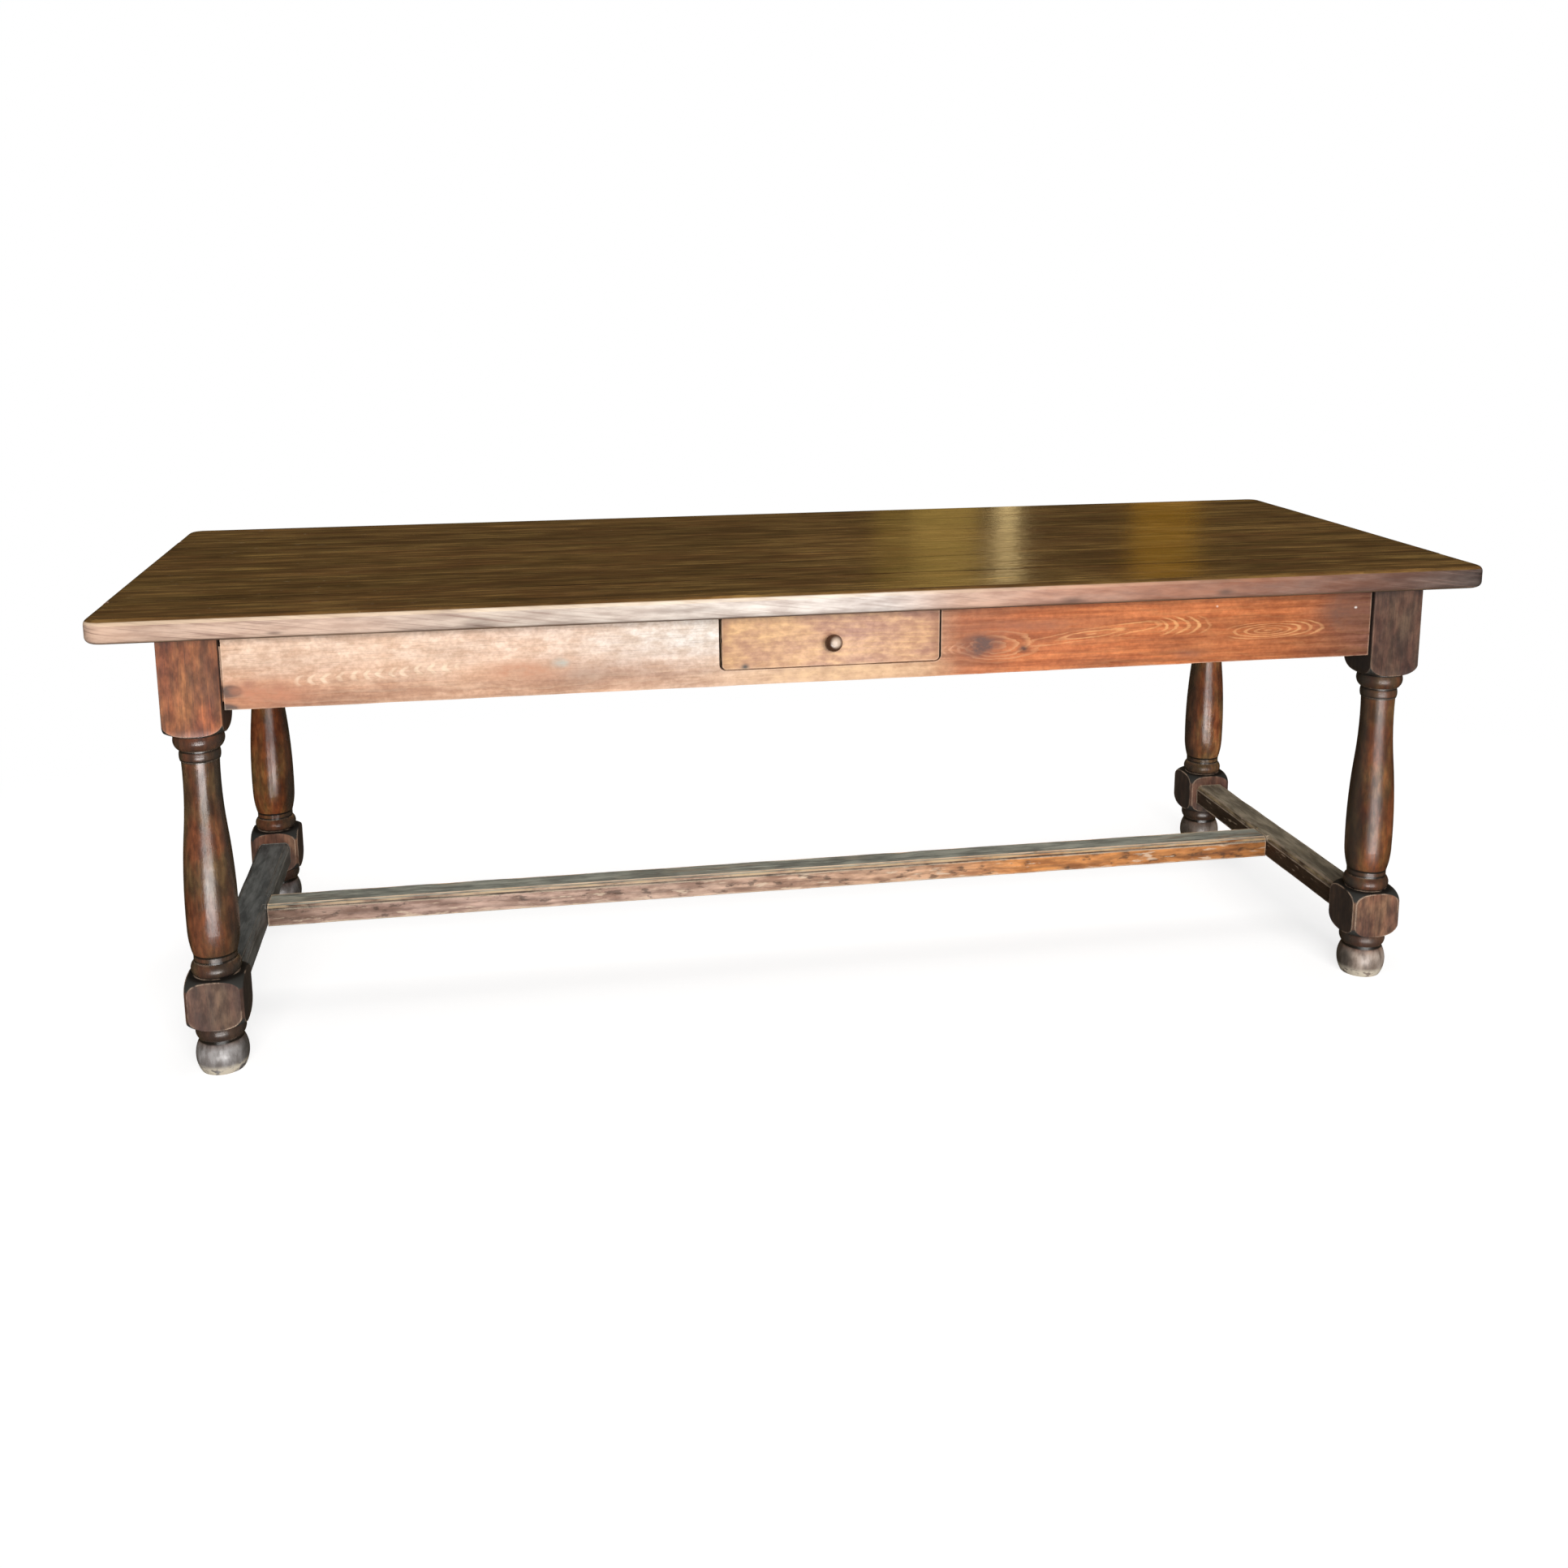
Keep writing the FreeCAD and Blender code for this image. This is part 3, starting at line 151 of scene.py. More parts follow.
def lamp(name, place, target, width, height, power, colour, diffuse=True, glossy=True):
    """An area lamp out of the camera's sight, for diffuse light, for reflections or for both."""
    light = bpy.data.lights.new(name, "AREA")
    light.shape = "RECTANGLE"
    light.size, light.size_y = width, height
    light.energy = power
    light.color = colour
    holder = bpy.data.objects.new(name, light)
    holder.location = place
    holder.rotation_euler = (Vector(target) - Vector(place)).to_track_quat("-Z", "Y").to_euler()
    holder.visible_camera = False
    holder.visible_diffuse = diffuse
    holder.visible_glossy = glossy
    bpy.context.scene.collection.objects.link(holder)


DAYLIGHT = (1.0, 0.985, 0.97)
DOOR_X, DOOR_Y, DOOR_WIDTH = 0.1, -7.5, 5.6

lamp("front_door", (DOOR_X, DOOR_Y, 2.6), (0, -0.3, 0.5), DOOR_WIDTH, 3.0, 630, DAYLIGHT, glossy=False)
lamp("door_foot", (DOOR_X, DOOR_Y, 0.37), (0, -0.3, 0.37), DOOR_WIDTH, 0.7, 130, DAYLIGHT, diffuse=False)
lamp("door_in_floor", (DOOR_X, DOOR_Y, -1.95), (0, -0.3, 0.3), DOOR_WIDTH, 1.4, 300, DAYLIGHT, diffuse=False)
lamp("overhead", (-0.3, -0.2, 3.4), (-0.1, 0, 0.7), 3.6, 2.6, 31, (1.0, 0.98, 0.95), glossy=False)
lamp("back_fill", (0.4, 4.0, 3.6), (0, 0.3, 0.5), 2.6, 1.5, 80, (1.0, 0.97, 0.93), glossy=False)

# Each window has its place along the room, its width, its strength and the colour of its light.
WINDOW_Y, WINDOW_Z, WINDOW_HEIGHT = 4.5, 1.75, 1.7
WINDOWS = (
    (1.29, 0.14, 0.55, (1.0, 0.66, 0.10)),
    (1.56, 0.34, 1.3, (1.0, 0.66, 0.14)),
    (1.875, 0.09, 4.6, (1.0, 0.75, 0.34)),
    (2.69, 0.34, 0.90, (1.0, 0.46, 0.0)),
    (2.63, 0.13, 4.6, (1.0, 0.48, 0.0)),
)
for number, (window_x, window_width, strength, colour) in enumerate(WINDOWS):
    power = strength * window_width * WINDOW_HEIGHT
    lamp(f"window_{number}", (window_x, WINDOW_Y, WINDOW_Z), (window_x, 0, WINDOW_Z),
         window_width, WINDOW_HEIGHT, power, colour, diffuse=False)


# Legs: four turned legs of stained hardwood, each from one 90 mm post, dark with wax and handling.
# The square blocks take the mortises, and dirt has settled in the turned grooves between the beads.
# They are the CAD solids themselves, so only the wood is made here.
def axes(tree, place):
    return add(tree, "SeparateXYZ", {0: place}).outputs


def cloud(tree, place, stretch, low=0.35, high=0.65, detail=4.0):
    """Noise stretched by so many waves per metre on each axis, spread out to run from 0 to 1."""
    scaled = vector(tree, "MULTIPLY", place, stretch)
    noise = add(tree, "TexNoise", {"Vector": scaled, "Scale": 1.0, "Detail": detail, "Roughness": 0.6})
    return fade(tree, noise.outputs["Fac"], low, high)


def new_group(name, takes, gives):
    tree = bpy.data.node_groups.new(name, "ShaderNodeTree")
    for label, kind in takes.items():
        tree.interface.new_socket(label, in_out="INPUT", socket_type="NodeSocket" + kind)
    for label, kind in gives.items():
        tree.interface.new_socket(label, in_out="OUTPUT", socket_type="NodeSocket" + kind)
    return tree, tree.nodes.new("NodeGroupInput").outputs, tree.nodes.new("NodeGroupOutput").inputs


def along_grain(tree, order, centre=(0, 0, 0)):
    """Object coordinates from a centre: along the grain, then across it, then through the piece."""
    moved = axes(tree, vector(tree, "SUBTRACT", add(tree, "TexCoord").outputs["Object"], centre))
    return add(tree, "CombineXYZ", {index: moved[axis] for index, axis in enumerate(order)}).outputs[0]


SEED_SHIFT = (3.1, 1.7, 2.3)
SMOKE_SHIFT = (9.1, 4.7, 6.3)
RING_WAVER = 0.008

figure, takes, gives = new_group(
    "wood_figure",
    {"Vector": "Vector", "Seed": "Float", "Ring Width": "Float", "Pith Across": "Float",
     "Pith Depth": "Float", "Wander": "Float", "Swell": "Float"},
    {"Ring": "Float", "Fibre": "Float", "Pore": "Float", "Stain": "Float", "Smoke": "Float"},
)
shift = add(figure, "VectorMath", {0: SEED_SHIFT, "Scale": takes["Seed"]}, operation="SCALE").outputs[0]
place = vector(figure, "ADD", takes["Vector"], shift)
split = axes(figure, takes["Vector"])
across = calc(figure, "SUBTRACT", split[1], takes["Pith Across"])
through = calc(figure, "SUBTRACT", split[2], takes["Pith Depth"])
across = calc(figure, "MULTIPLY", across, across)
radius = calc(figure, "SQRT", calc(figure, "MULTIPLY_ADD", through, through, across))
lazy = calc(figure, "SUBTRACT", cloud(figure, place, (1.7, 7, 7), 0, 1, 2), 0.5)
quick = calc(figure, "SUBTRACT", cloud(figure, place, (14, 70, 70), 0, 1, 3), 0.5)
radius = calc(figure, "MULTIPLY_ADD", lazy, takes["Wander"], radius)
radius = calc(figure, "MULTIPLY_ADD", quick, RING_WAVER, calc(figure, "ADD", radius, takes["Swell"]))
year = calc(figure, "FRACT", calc(figure, "DIVIDE", radius, takes["Ring Width"]))
ring = calc(figure, "MULTIPLY", fade(figure, year, 0.40, 0.88), fade(figure, year, 1.0, 0.92))
fibre = cloud(figure, place, (7, 190, 190), 0.3, 0.7, 6)
pore = cloud(figure, place, (26, 750, 750), 0.58, 0.68, 1)
stain = cloud(figure, place, (3.0, 13, 13), 0.32, 0.68, 5)
smoke = cloud(figure, vector(figure, "ADD", place, SMOKE_SHIFT), (5.5, 22, 22), 0.36, 0.66, 5)
figure.links.new(ring, gives["Ring"])
figure.links.new(fibre, gives["Fibre"])
figure.links.new(pore, gives["Pore"])
figure.links.new(stain, gives["Stain"])
figure.links.new(smoke, gives["Smoke"])

ARRIS_REACH = 0.004
ARRIS_TURN = (0.992, 0.95)

arris, takes, gives = new_group("worn_arris", {"Place": "Vector", "Amount": "Float"}, {"Mask": "Float"})
rounded = add(arris, "Bevel", {"Radius": ARRIS_REACH}, samples=6).outputs[0]
flat = add(arris, "NewGeometry").outputs["Normal"]
turn = add(arris, "VectorMath", {0: rounded, 1: flat}, operation="DOT_PRODUCT").outputs["Value"]
rub = cloud(arris, takes["Place"], (30, 30, 30), 0.30, 0.52, 4)
mask = calc(arris, "MULTIPLY", fade(arris, turn, *ARRIS_TURN), rub)
arris.links.new(calc(arris, "MULTIPLY", mask, takes["Amount"]), gives["Mask"])


def wood_grain(tree, place, seed, ring_width, pith_across, pith_depth, wander, swell=0.0):
    """The figure of one board. Its rings lie round the pith, so far across the board and through it."""
    sockets = {"Vector": place, "Seed": seed, "Ring Width": ring_width, "Pith Across": pith_across,
               "Pith Depth": pith_depth, "Wander": wander, "Swell": swell}
    return add(tree, "Group", sockets, node_tree=figure).outputs


def mask_of(tree, group, place, amount):
    """Where a group such as the worn arris shows, by an amount."""
    return add(tree, "Group", {"Place": place, "Amount": amount}, node_tree=group).outputs[0]


def band(tree, value, middle, half):
    """A soft line of 1 round a middle value, gone at half its width from it."""
    away = calc(tree, "ABSOLUTE", calc(tree, "SUBTRACT", value, middle))
    return fade(tree, away, half, half * 0.3)


def between(tree, value, low, high, soft):
    """1 from low to high, and a soft edge outside them."""
    rising = fade(tree, value, low - soft, low)
    return calc(tree, "MULTIPLY", rising, fade(tree, value, high + soft, high))


def toned(tree, colour, mask, dark, light, share=1.0):
    """Multiplies a colour by one tone where the mask is 0 and by another where it is 1."""
    return blend(tree, share, colour, blend(tree, mask, dark, light), "MULTIPLY")


def laid(tree, colour, tint, mask, amount):
    """Lays a tint over a colour where the mask shows, by an amount."""
    return blend(tree, calc(tree, "MULTIPLY", mask, amount), colour, tint)


def finish_wood(tree, colour, roughness, relief, depth, gloss=0.5):
    """Joins the colour, the polish and a relief of so many metres into the finished wood."""
    bump = add(tree, "Bump", {"Height": relief, "Strength": 1.0, "Distance": depth}).outputs[0]
    sockets = {"Base Color": colour, "Roughness": roughness, "Normal": bump, "Specular IOR Level": gloss}
    add(tree, "OutputMaterial", {"Surface": add(tree, "BsdfPrincipled", sockets).outputs[0]})


def coat(piece, material):
    piece.data.materials.clear()
    piece.data.materials.append(material)


LEG_DEEP = (0.030, 0.016, 0.010)
LEG_DIRT = (0.014, 0.011, 0.009)
# LEG_SLATE_AND_SHADE is the slate grey of the beads and smoky grain, and painted shade on the inward faces
# and shoulders.
LEG_SLATE_AND_SHADE = (0.036, 0.036, 0.033)
LEG_WORN = (0.60, 0.43, 0.31)
LEG_PATCHES = ((0.58, 0.48, 0.48), (1.48, 1.52, 1.35))
LEG_WARMTH = ((1.25, 0.86, 0.74), (0.88, 1.12, 1.0))
LEG_MOTTLE = ((0.66, 0.62, 0.60), (1.36, 1.36, 1.28))
FOOT_MOTTLE = ((0.55, 0.52, 0.50), (1.35, 1.36, 1.38))
FOOT_GREY = (0.33, 0.32, 0.315)
FOOT_BROWN = (0.39, 0.325, 0.275)
FOOT_CHIPPED = (0.76, 0.68, 0.55)
LEG_RELIEF = 0.00003

# Heights on the leg in metres: the middle and half width of each groove, the ends of shoulders and beads,
# then where a finish begins to show and where it is whole, or its two ends and the width of their soft edge.
LEG_GROOVES = ((0.055, 0.005), (0.0795, 0.003), (0.1645, 0.003), (0.1885, 0.003),
               (0.1985, 0.003), (0.5185, 0.004), (0.5355, 0.004), (0.562, 0.003))
SHADED_SHOULDERS = ((0.0795, 0.105), (0.135, 0.165), (0.560, 0.60))
SHOULDER_SOFT = 0.001
LEG_BEADS = ((0.056, 0.079), (0.165, 0.198), (0.519, 0.562))
BEAD_SOFT = 0.002
UPPER_TONE = (0.55, 0.57)
UPPER_DULL = (0.56, 0.58)
LOWER_TONE = (0.175, 0.16)
LOWER_DULL = (0.083, 0.163, 0.004)
LOWER_HANDLED = (0.082, 0.163, 0.002)
FOOT_SCRAPED = (0.060, 0.040)
FOOT_RIM = (0.020, 0.008)


def leg_wood(name, foot_tone, dullness, gloss, seed, block, turned, lower):
    """Stained wood with one tone each for upper block, turning and lower block, and a scraped foot."""
    material, tree = new_material(name + "_wood")
    low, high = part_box(name)
    place = along_grain(tree, (2, 0, 1), ((low.x + high.x) / 2, (low.y + high.y) / 2, 0))
    height = axes(tree, place)[0]
    grain = wood_grain(tree, place, seed, ring_width=0.009, pith_across=0.06, pith_depth=0.05, wander=0.03)
    upper_part = fade(tree, height, *UPPER_TONE)
    lower_part = fade(tree, height, *LOWER_TONE)
    colour = blend(tree, lower_part, blend(tree, upper_part, turned, block), lower)
    patches = cloud(tree, vector(tree, "ADD", place, (seed * 3, 0, 0)), (10, 24, 24), 0.34, 0.66, 6)
    colour = toned(tree, colour, patches, *LEG_PATCHES)
    warmth = cloud(tree, vector(tree, "ADD", place, (0, seed, seed)), (10, 26, 26), 0.36, 0.64, 5)
    mixed = calc(tree, "MULTIPLY_ADD", upper_part, -0.55, 1.0)
    mixed = calc(tree, "MULTIPLY_ADD", lower_part, -0.65, mixed)
    colour = toned(tree, colour, warmth, *LEG_WARMTH, share=mixed)
    mottle = cloud(tree, vector(tree, "ADD", place, (seed, 0, 0)), (38, 85, 85), 0.33, 0.67, 6)
    colour = toned(tree, colour, mottle, *LEG_MOTTLE)
    for bottom, upper in LEG_BEADS:
        colour = laid(tree, colour, LEG_SLATE_AND_SHADE, between(tree, height, bottom, upper, BEAD_SOFT), 0.5)
    colour = laid(tree, colour, LEG_DEEP, grain["Fibre"], 0.34)
    colour = laid(tree, colour, LEG_DEEP, grain["Ring"], 0.12)
    colour = laid(tree, colour, LEG_DIRT, grain["Pore"], 0.35)
    colour = laid(tree, colour, LEG_SLATE_AND_SHADE, grain["Smoke"], 0.25)
    scraped = toned(tree, foot_tone, mottle, *FOOT_MOTTLE)
    colour = laid(tree, colour, scraped, fade(tree, height, *FOOT_SCRAPED), 0.82)
    facing = axes(tree, add(tree, "NewGeometry").outputs["Normal"])
    # Painted shade: the faces turned in under the table are darkened with slate.
    inward_shade = calc(tree, "MULTIPLY", facing[0], 1.0 if low.x < 0 else -1.0)
    colour = laid(tree, colour, LEG_SLATE_AND_SHADE, fade(tree, inward_shade, 0.6, 0.95), 0.7)
    # Painted shade: the sloping shoulders above and below the blocks are darkened with slate.
    slope = fade(tree, calc(tree, "ABSOLUTE", facing[2]), 0.15, 0.4)
    for bottom, upper in SHADED_SHOULDERS:
        colour = laid(tree, colour, LEG_SLATE_AND_SHADE, between(tree, height, bottom, upper, SHOULDER_SOFT), slope)
    for groove, half in LEG_GROOVES:
        colour = blend(tree, band(tree, height, groove, half), colour, LEG_DIRT)
    chips = cloud(tree, place, (80, 55, 55), 0.38, 0.50)
    colour = laid(tree, colour, FOOT_CHIPPED, fade(tree, height, *FOOT_RIM), chips)
    handled = calc(tree, "MULTIPLY_ADD", between(tree, height, *LOWER_HANDLED), 0.6, 0.3)
    handled = calc(tree, "MULTIPLY", handled, fade(tree, patches, 0.15, 0.75))
    colour = blend(tree, mask_of(tree, arris, place, handled), colour, LEG_WORN)
    square = calc(tree, "MAXIMUM", fade(tree, height, *UPPER_DULL), between(tree, height, *LOWER_DULL))
    rough = calc(tree, "MULTIPLY_ADD", grain["Stain"], 0.10, dullness)
    rough = calc(tree, "MULTIPLY_ADD", mottle, -0.08, rough)
    rough = calc(tree, "MULTIPLY_ADD", square, 0.42, rough)
    relief = calc(tree, "SUBTRACT", grain["Fibre"], grain["Pore"])
    relief = calc(tree, "MULTIPLY_ADD", mottle, 3.0, relief)
    finish_wood(tree, colour, rough, relief, LEG_RELIEF, gloss)
    coat(nodes[name], material)


leg_wood("leg_front_left", FOOT_GREY, dullness=0.28, gloss=0.75, seed=1.0,
         block=(0.37, 0.121, 0.044), turned=(0.155, 0.070, 0.040), lower=(0.145, 0.076, 0.055))
leg_wood("leg_front_right", FOOT_BROWN, dullness=0.32, gloss=0.65, seed=2.3,
         block=(0.102, 0.051, 0.038), turned=(0.172, 0.074, 0.033), lower=(0.21, 0.10, 0.065))
leg_wood("leg_back_left", FOOT_GREY, dullness=0.22, gloss=0.55, seed=3.7,
         block=(0.26, 0.12, 0.07), turned=(0.210, 0.086, 0.036), lower=(0.24, 0.12, 0.080))
leg_wood("leg_back_right", FOOT_BROWN, dullness=0.27, gloss=0.85, seed=5.2,
         block=(0.24, 0.11, 0.06), turned=(0.290, 0.135, 0.066), lower=(0.20, 0.10, 0.073))


# Stretchers: two end rails and one long rail of the same wood, tenoned into the lower blocks and each other.
# Their upper edges carry a run moulding, and feet have rubbed the stain off it.
# Grey dirt lies on the flat tops.
MERGE_REACH = 0.00001
FLAT_TURN = math.radians(0.5)
SHARP_TURN = math.radians(40)
SMOOTH_TURN = math.radians(35)
SAME_FACING = 0.99
KNOCK_SIZE = 0.045


def worn_copy(name, rounding, wear, step, axis):
    """Copies a sawn member, rounds its sharp edges, and lets years of use eat into them unevenly.

    Cuts a step apart along the axis give the wear its points; with a step of 0 there are none.
    """
    piece = bpy.data.objects.new(name + "_worn", nodes[name].data.copy())
    piece.data.name = piece.name
    bpy.context.scene.collection.objects.link(piece)
    bpy.ops.object.select_all(action="DESELECT")
    piece.select_set(True)
    bpy.context.view_layer.objects.active = piece
    bpy.ops.mesh.customdata_custom_splitnormals_clear()
    bpy.ops.object.mode_set(mode="EDIT")
    bpy.ops.mesh.select_all(action="SELECT")
    bpy.ops.mesh.remove_doubles(threshold=MERGE_REACH)
    bpy.ops.mesh.dissolve_limited(angle_limit=FLAT_TURN)
    bpy.ops.object.mode_set(mode="OBJECT")
    soften = piece.modifiers.new("soften", "BEVEL")
    soften.width = rounding
    soften.segments = 3
    soften.limit_method = "ANGLE"
    soften.angle_limit = SHARP_TURN
    bpy.ops.object.modifier_apply(modifier=soften.name)
    if step:
        low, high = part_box(name)
        along = [0, 0, 0]
        along[axis] = 1
        bpy.ops.object.mode_set(mode="EDIT")
        for number in range(1, int((high[axis] - low[axis]) / step)):
            cut = [0, 0, 0]
            cut[axis] = low[axis] + number * step
            bpy.ops.mesh.select_all(action="SELECT")
            bpy.ops.mesh.bisect(plane_co=cut, plane_no=along)
        bpy.ops.object.mode_set(mode="OBJECT")
    facings = {}
    for face in piece.data.polygons:
        for corner in face.vertices:
            facings.setdefault(corner, []).append(face.normal.copy())
    edges = [corner for corner, normals in facings.items()
             if min(normals[0].dot(normal) for normal in normals) < SAME_FACING]
    piece.vertex_groups.new(name="arris").add(edges, 1.0, "REPLACE")
    lumps = bpy.data.textures.new(name + "_knocks", "CLOUDS")
    lumps.noise_scale = KNOCK_SIZE
    knock = piece.modifiers.new("knocks", "DISPLACE")
    knock.texture = lumps
    knock.texture_coords = "LOCAL"
    knock.strength = wear
    knock.mid_level = 1.0
    knock.vertex_group = "arris"
    bpy.ops.object.modifier_apply(modifier=knock.name)
    bpy.ops.object.shade_smooth_by_angle(angle=SMOOTH_TURN)
    even = piece.modifiers.new("even", "WEIGHTED_NORMAL")
    even.keep_sharp = True
    bpy.ops.object.modifier_apply(modifier=even.name)
    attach(piece, "drawer" if name.startswith("drawer") else "table")
    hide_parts(name)
    return piece


def ramp_along(tree, value, start, end, *stops):
    """A colour that changes along a piece, from stops of (place, colour) in metres."""
    sockets = {"Value": value, "From Min": start, "From Max": end}
    made = add(tree, "ValToRGB", {"Fac": add(tree, "MapRange", sockets).outputs["Result"]})
    for index, (where, colour) in enumerate(stops):
        if index < 2:
            stop = made.color_ramp.elements[index]
            stop.position = (where - start) / (end - start)
        else:
            stop = made.color_ramp.elements.new((where - start) / (end - start))
        stop.color = (*colour, 1)
    return made.outputs["Color"]


dust, takes, gives = new_group("settled_dirt", {"Place": "Vector", "Amount": "Float"}, {"Mask": "Float"})
upward = axes(dust, add(dust, "NewGeometry").outputs["Normal"])[2]
patches = cloud(dust, takes["Place"], (5, 26, 26), 0.12, 0.5, 5)
lying = calc(dust, "MULTIPLY", fade(dust, upward, 0.6, 0.95), patches)
dust.links.new(calc(dust, "MULTIPLY", lying, takes["Amount"]), gives["Mask"])

RAIL_ROUNDING, RAIL_WEAR, RAIL_STEP = 0.0015, 0.003, 0.035
RAIL_RELIEF, RAIL_GLOSS = 0.0005, 0.25
# Above the middle of the rail: the two ends of the bead and its soft edge, and the quirk with half its width.
RAIL_BEAD = (0.0135, 0.0205, 0.0008)
RAIL_QUIRK = (0.0118, 0.0026)
STRETCHER_DEEP = (0.045, 0.03, 0.022)
STRETCHER_RUBBED = (0.78, 0.62, 0.46)
STRETCHER_BEAD = (0.66, 0.50, 0.29)
STRETCHER_MOTTLE = ((0.58, 0.50, 0.46), (1.22, 1.20, 1.18))
MUD_MOTTLE = ((0.55, 0.55, 0.54), (1.30, 1.28, 1.24))
CENTRE_DIRT = (0.38, 0.39, 0.34)
CENTRE_STOPS = ((-0.95, (0.38, 0.25, 0.19)), (-0.7, (0.58, 0.40, 0.33)), (-0.2, (0.67, 0.47, 0.37)),
                (0.25, (0.72, 0.44, 0.28)), (0.45, (0.80, 0.34, 0.105)), (0.95, (0.56, 0.23, 0.07)))
LEFT_DIRT = (0.175, 0.184, 0.182)
LEFT_STOPS = ((-0.3, (0.12, 0.075, 0.05)), (0.3, (0.12, 0.08, 0.055)))
RIGHT_DIRT = (0.42, 0.36, 0.27)
# Painted shade: the right rail's sides are near black.
RIGHT_SHADED_STOPS = ((-0.3, (0.075, 0.045, 0.028)), (0.3, (0.065, 0.042, 0.028)))


def stretcher_wood(name, axis, reach, dirt, grime, stops):
    """Rail wood: stops give its stain, dirt the colour of the dust, grime its share of the sides."""
    material, tree = new_material(name + "_wood")
    low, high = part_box(name)
    place = along_grain(tree, (axis, 1 - axis, 2), (0, 0, (low.z + high.z) / 2))
    split = axes(tree, place)
    grain = wood_grain(tree, place, seed=len(name), ring_width=0.010, pith_across=0.05, pith_depth=0.07,
                       wander=0.04)
    colour = ramp_along(tree, split[0], -reach, reach, *stops)
    mottle = cloud(tree, place, (16, 60, 60), 0.34, 0.66, 6)
    colour = toned(tree, colour, mottle, *STRETCHER_MOTTLE)
    colour = laid(tree, colour, STRETCHER_DEEP, grain["Fibre"], 0.25)
    colour = laid(tree, colour, STRETCHER_DEEP, grain["Ring"], 0.25)
    spots = cloud(tree, place, (34, 90, 90), 0.55, 0.66, 4)
    colour = laid(tree, colour, STRETCHER_DEEP, spots, 0.65)
    flaked = cloud(tree, place, (20, 120, 120), 0.58, 0.66, 5)
    clean = 1.0 - grime
    colour = laid(tree, colour, STRETCHER_RUBBED, flaked, 0.7 * clean)
    bead = calc(tree, "MULTIPLY", between(tree, split[2], *RAIL_BEAD), mottle)
    colour = laid(tree, colour, STRETCHER_BEAD, bead, 0.8 * clean)
    colour = laid(tree, colour, STRETCHER_DEEP, band(tree, split[2], *RAIL_QUIRK), 0.9)
    muddy = cloud(tree, place, (15, 75, 75), 0.32, 0.68, 6)
    lain = toned(tree, dirt, muddy, *MUD_MOTTLE)
    colour = blend(tree, calc(tree, "MULTIPLY_ADD", grain["Smoke"], 0.15 * grime, grime), colour, lain)
    lying = mask_of(tree, dust, place, 1.0)
    colour = blend(tree, lying, colour, lain)
    colour = blend(tree, mask_of(tree, arris, place, 0.7 * clean), colour, STRETCHER_RUBBED)
    rough = calc(tree, "MULTIPLY_ADD", lying, 0.25, 0.42)
    relief = calc(tree, "SUBTRACT", grain["Fibre"], grain["Ring"])
    finish_wood(tree, colour, rough, relief, RAIL_RELIEF, RAIL_GLOSS)
    return material


for name, axis, reach, dirt, grime, stops in (
    ("centre_stretcher", 0, 1.0, CENTRE_DIRT, 0.0, CENTRE_STOPS),
    ("left_stretcher", 1, 0.4, LEFT_DIRT, 0.85, LEFT_STOPS),
    ("right_stretcher", 1, 0.4, RIGHT_DIRT, 0.03, RIGHT_SHADED_STOPS),
):
    rail = worn_copy(name, RAIL_ROUNDING, RAIL_WEAR, RAIL_STEP, axis)
    coat(rail, stretcher_wood(name, axis, reach, dirt, grime, stops))


# Aprons: four sawn boards 25 mm thick, tenoned into the legs, with the drawer opening cut in the front one.
# Flat-sawn wood shows nested ovals and arrowheads of grain under a thin orange-brown stain.
# The left half of the front is painted pale with the glare of daylight on its polish: a painted reflection.
def shaded_end_faces(tree, axis):
    """The faces sawn across the grain, in the gaps at the legs and round the drawer, painted dark as their
    shade.
    """
    facing = axes(tree, add(tree, "NewGeometry").outputs["Normal"])[axis]
    return fade(tree, calc(tree, "ABSOLUTE", facing), 0.75, 0.95)


def oval(tree, place, centre, reach):
    """1 at the centre of an oval on the face, fading to 0 at its reach."""
    away = vector(tree, "SUBTRACT", place, (*centre, 0))
    return fade(tree, length(tree, vector(tree, "DIVIDE", away, (*reach, 1))), 1.0, 0.0)


GRAIN_WOBBLE = (14, 45, 45)
ARROW_LINE = (0.5, 0.28)
ARROW_TIP = 0.002
ARROW_END = 0.012
LOOP_LINE = (0.5, 0.26)


def arrows(tree, place, start, end, half, spacing, steep):
    """Nested arrowheads of grain on a line from start to end; steep above 0 points them to the left."""
    split = axes(tree, place)
    slope = (end[1] - start[1]) / (end[0] - start[0])
    line = calc(tree, "MULTIPLY_ADD", split[0], slope, start[1] - slope * start[0])
    off = calc(tree, "SUBTRACT", split[1], line)
    off = calc(tree, "SQRT", calc(tree, "MULTIPLY_ADD", off, off, ARROW_TIP ** 2))
    lead = calc(tree, "MULTIPLY_ADD", off, -steep, split[0])
    lead = calc(tree, "MULTIPLY_ADD", cloud(tree, place, GRAIN_WOBBLE, 0, 1, 2), spacing * 0.9, lead)
    step = calc(tree, "FRACT", calc(tree, "DIVIDE", lead, spacing))
    drawn = calc(tree, "MULTIPLY", band(tree, step, *ARROW_LINE), fade(tree, off, half, half * 0.4))
    return calc(tree, "MULTIPLY", drawn, between(tree, split[0], start[0], end[0], ARROW_END))


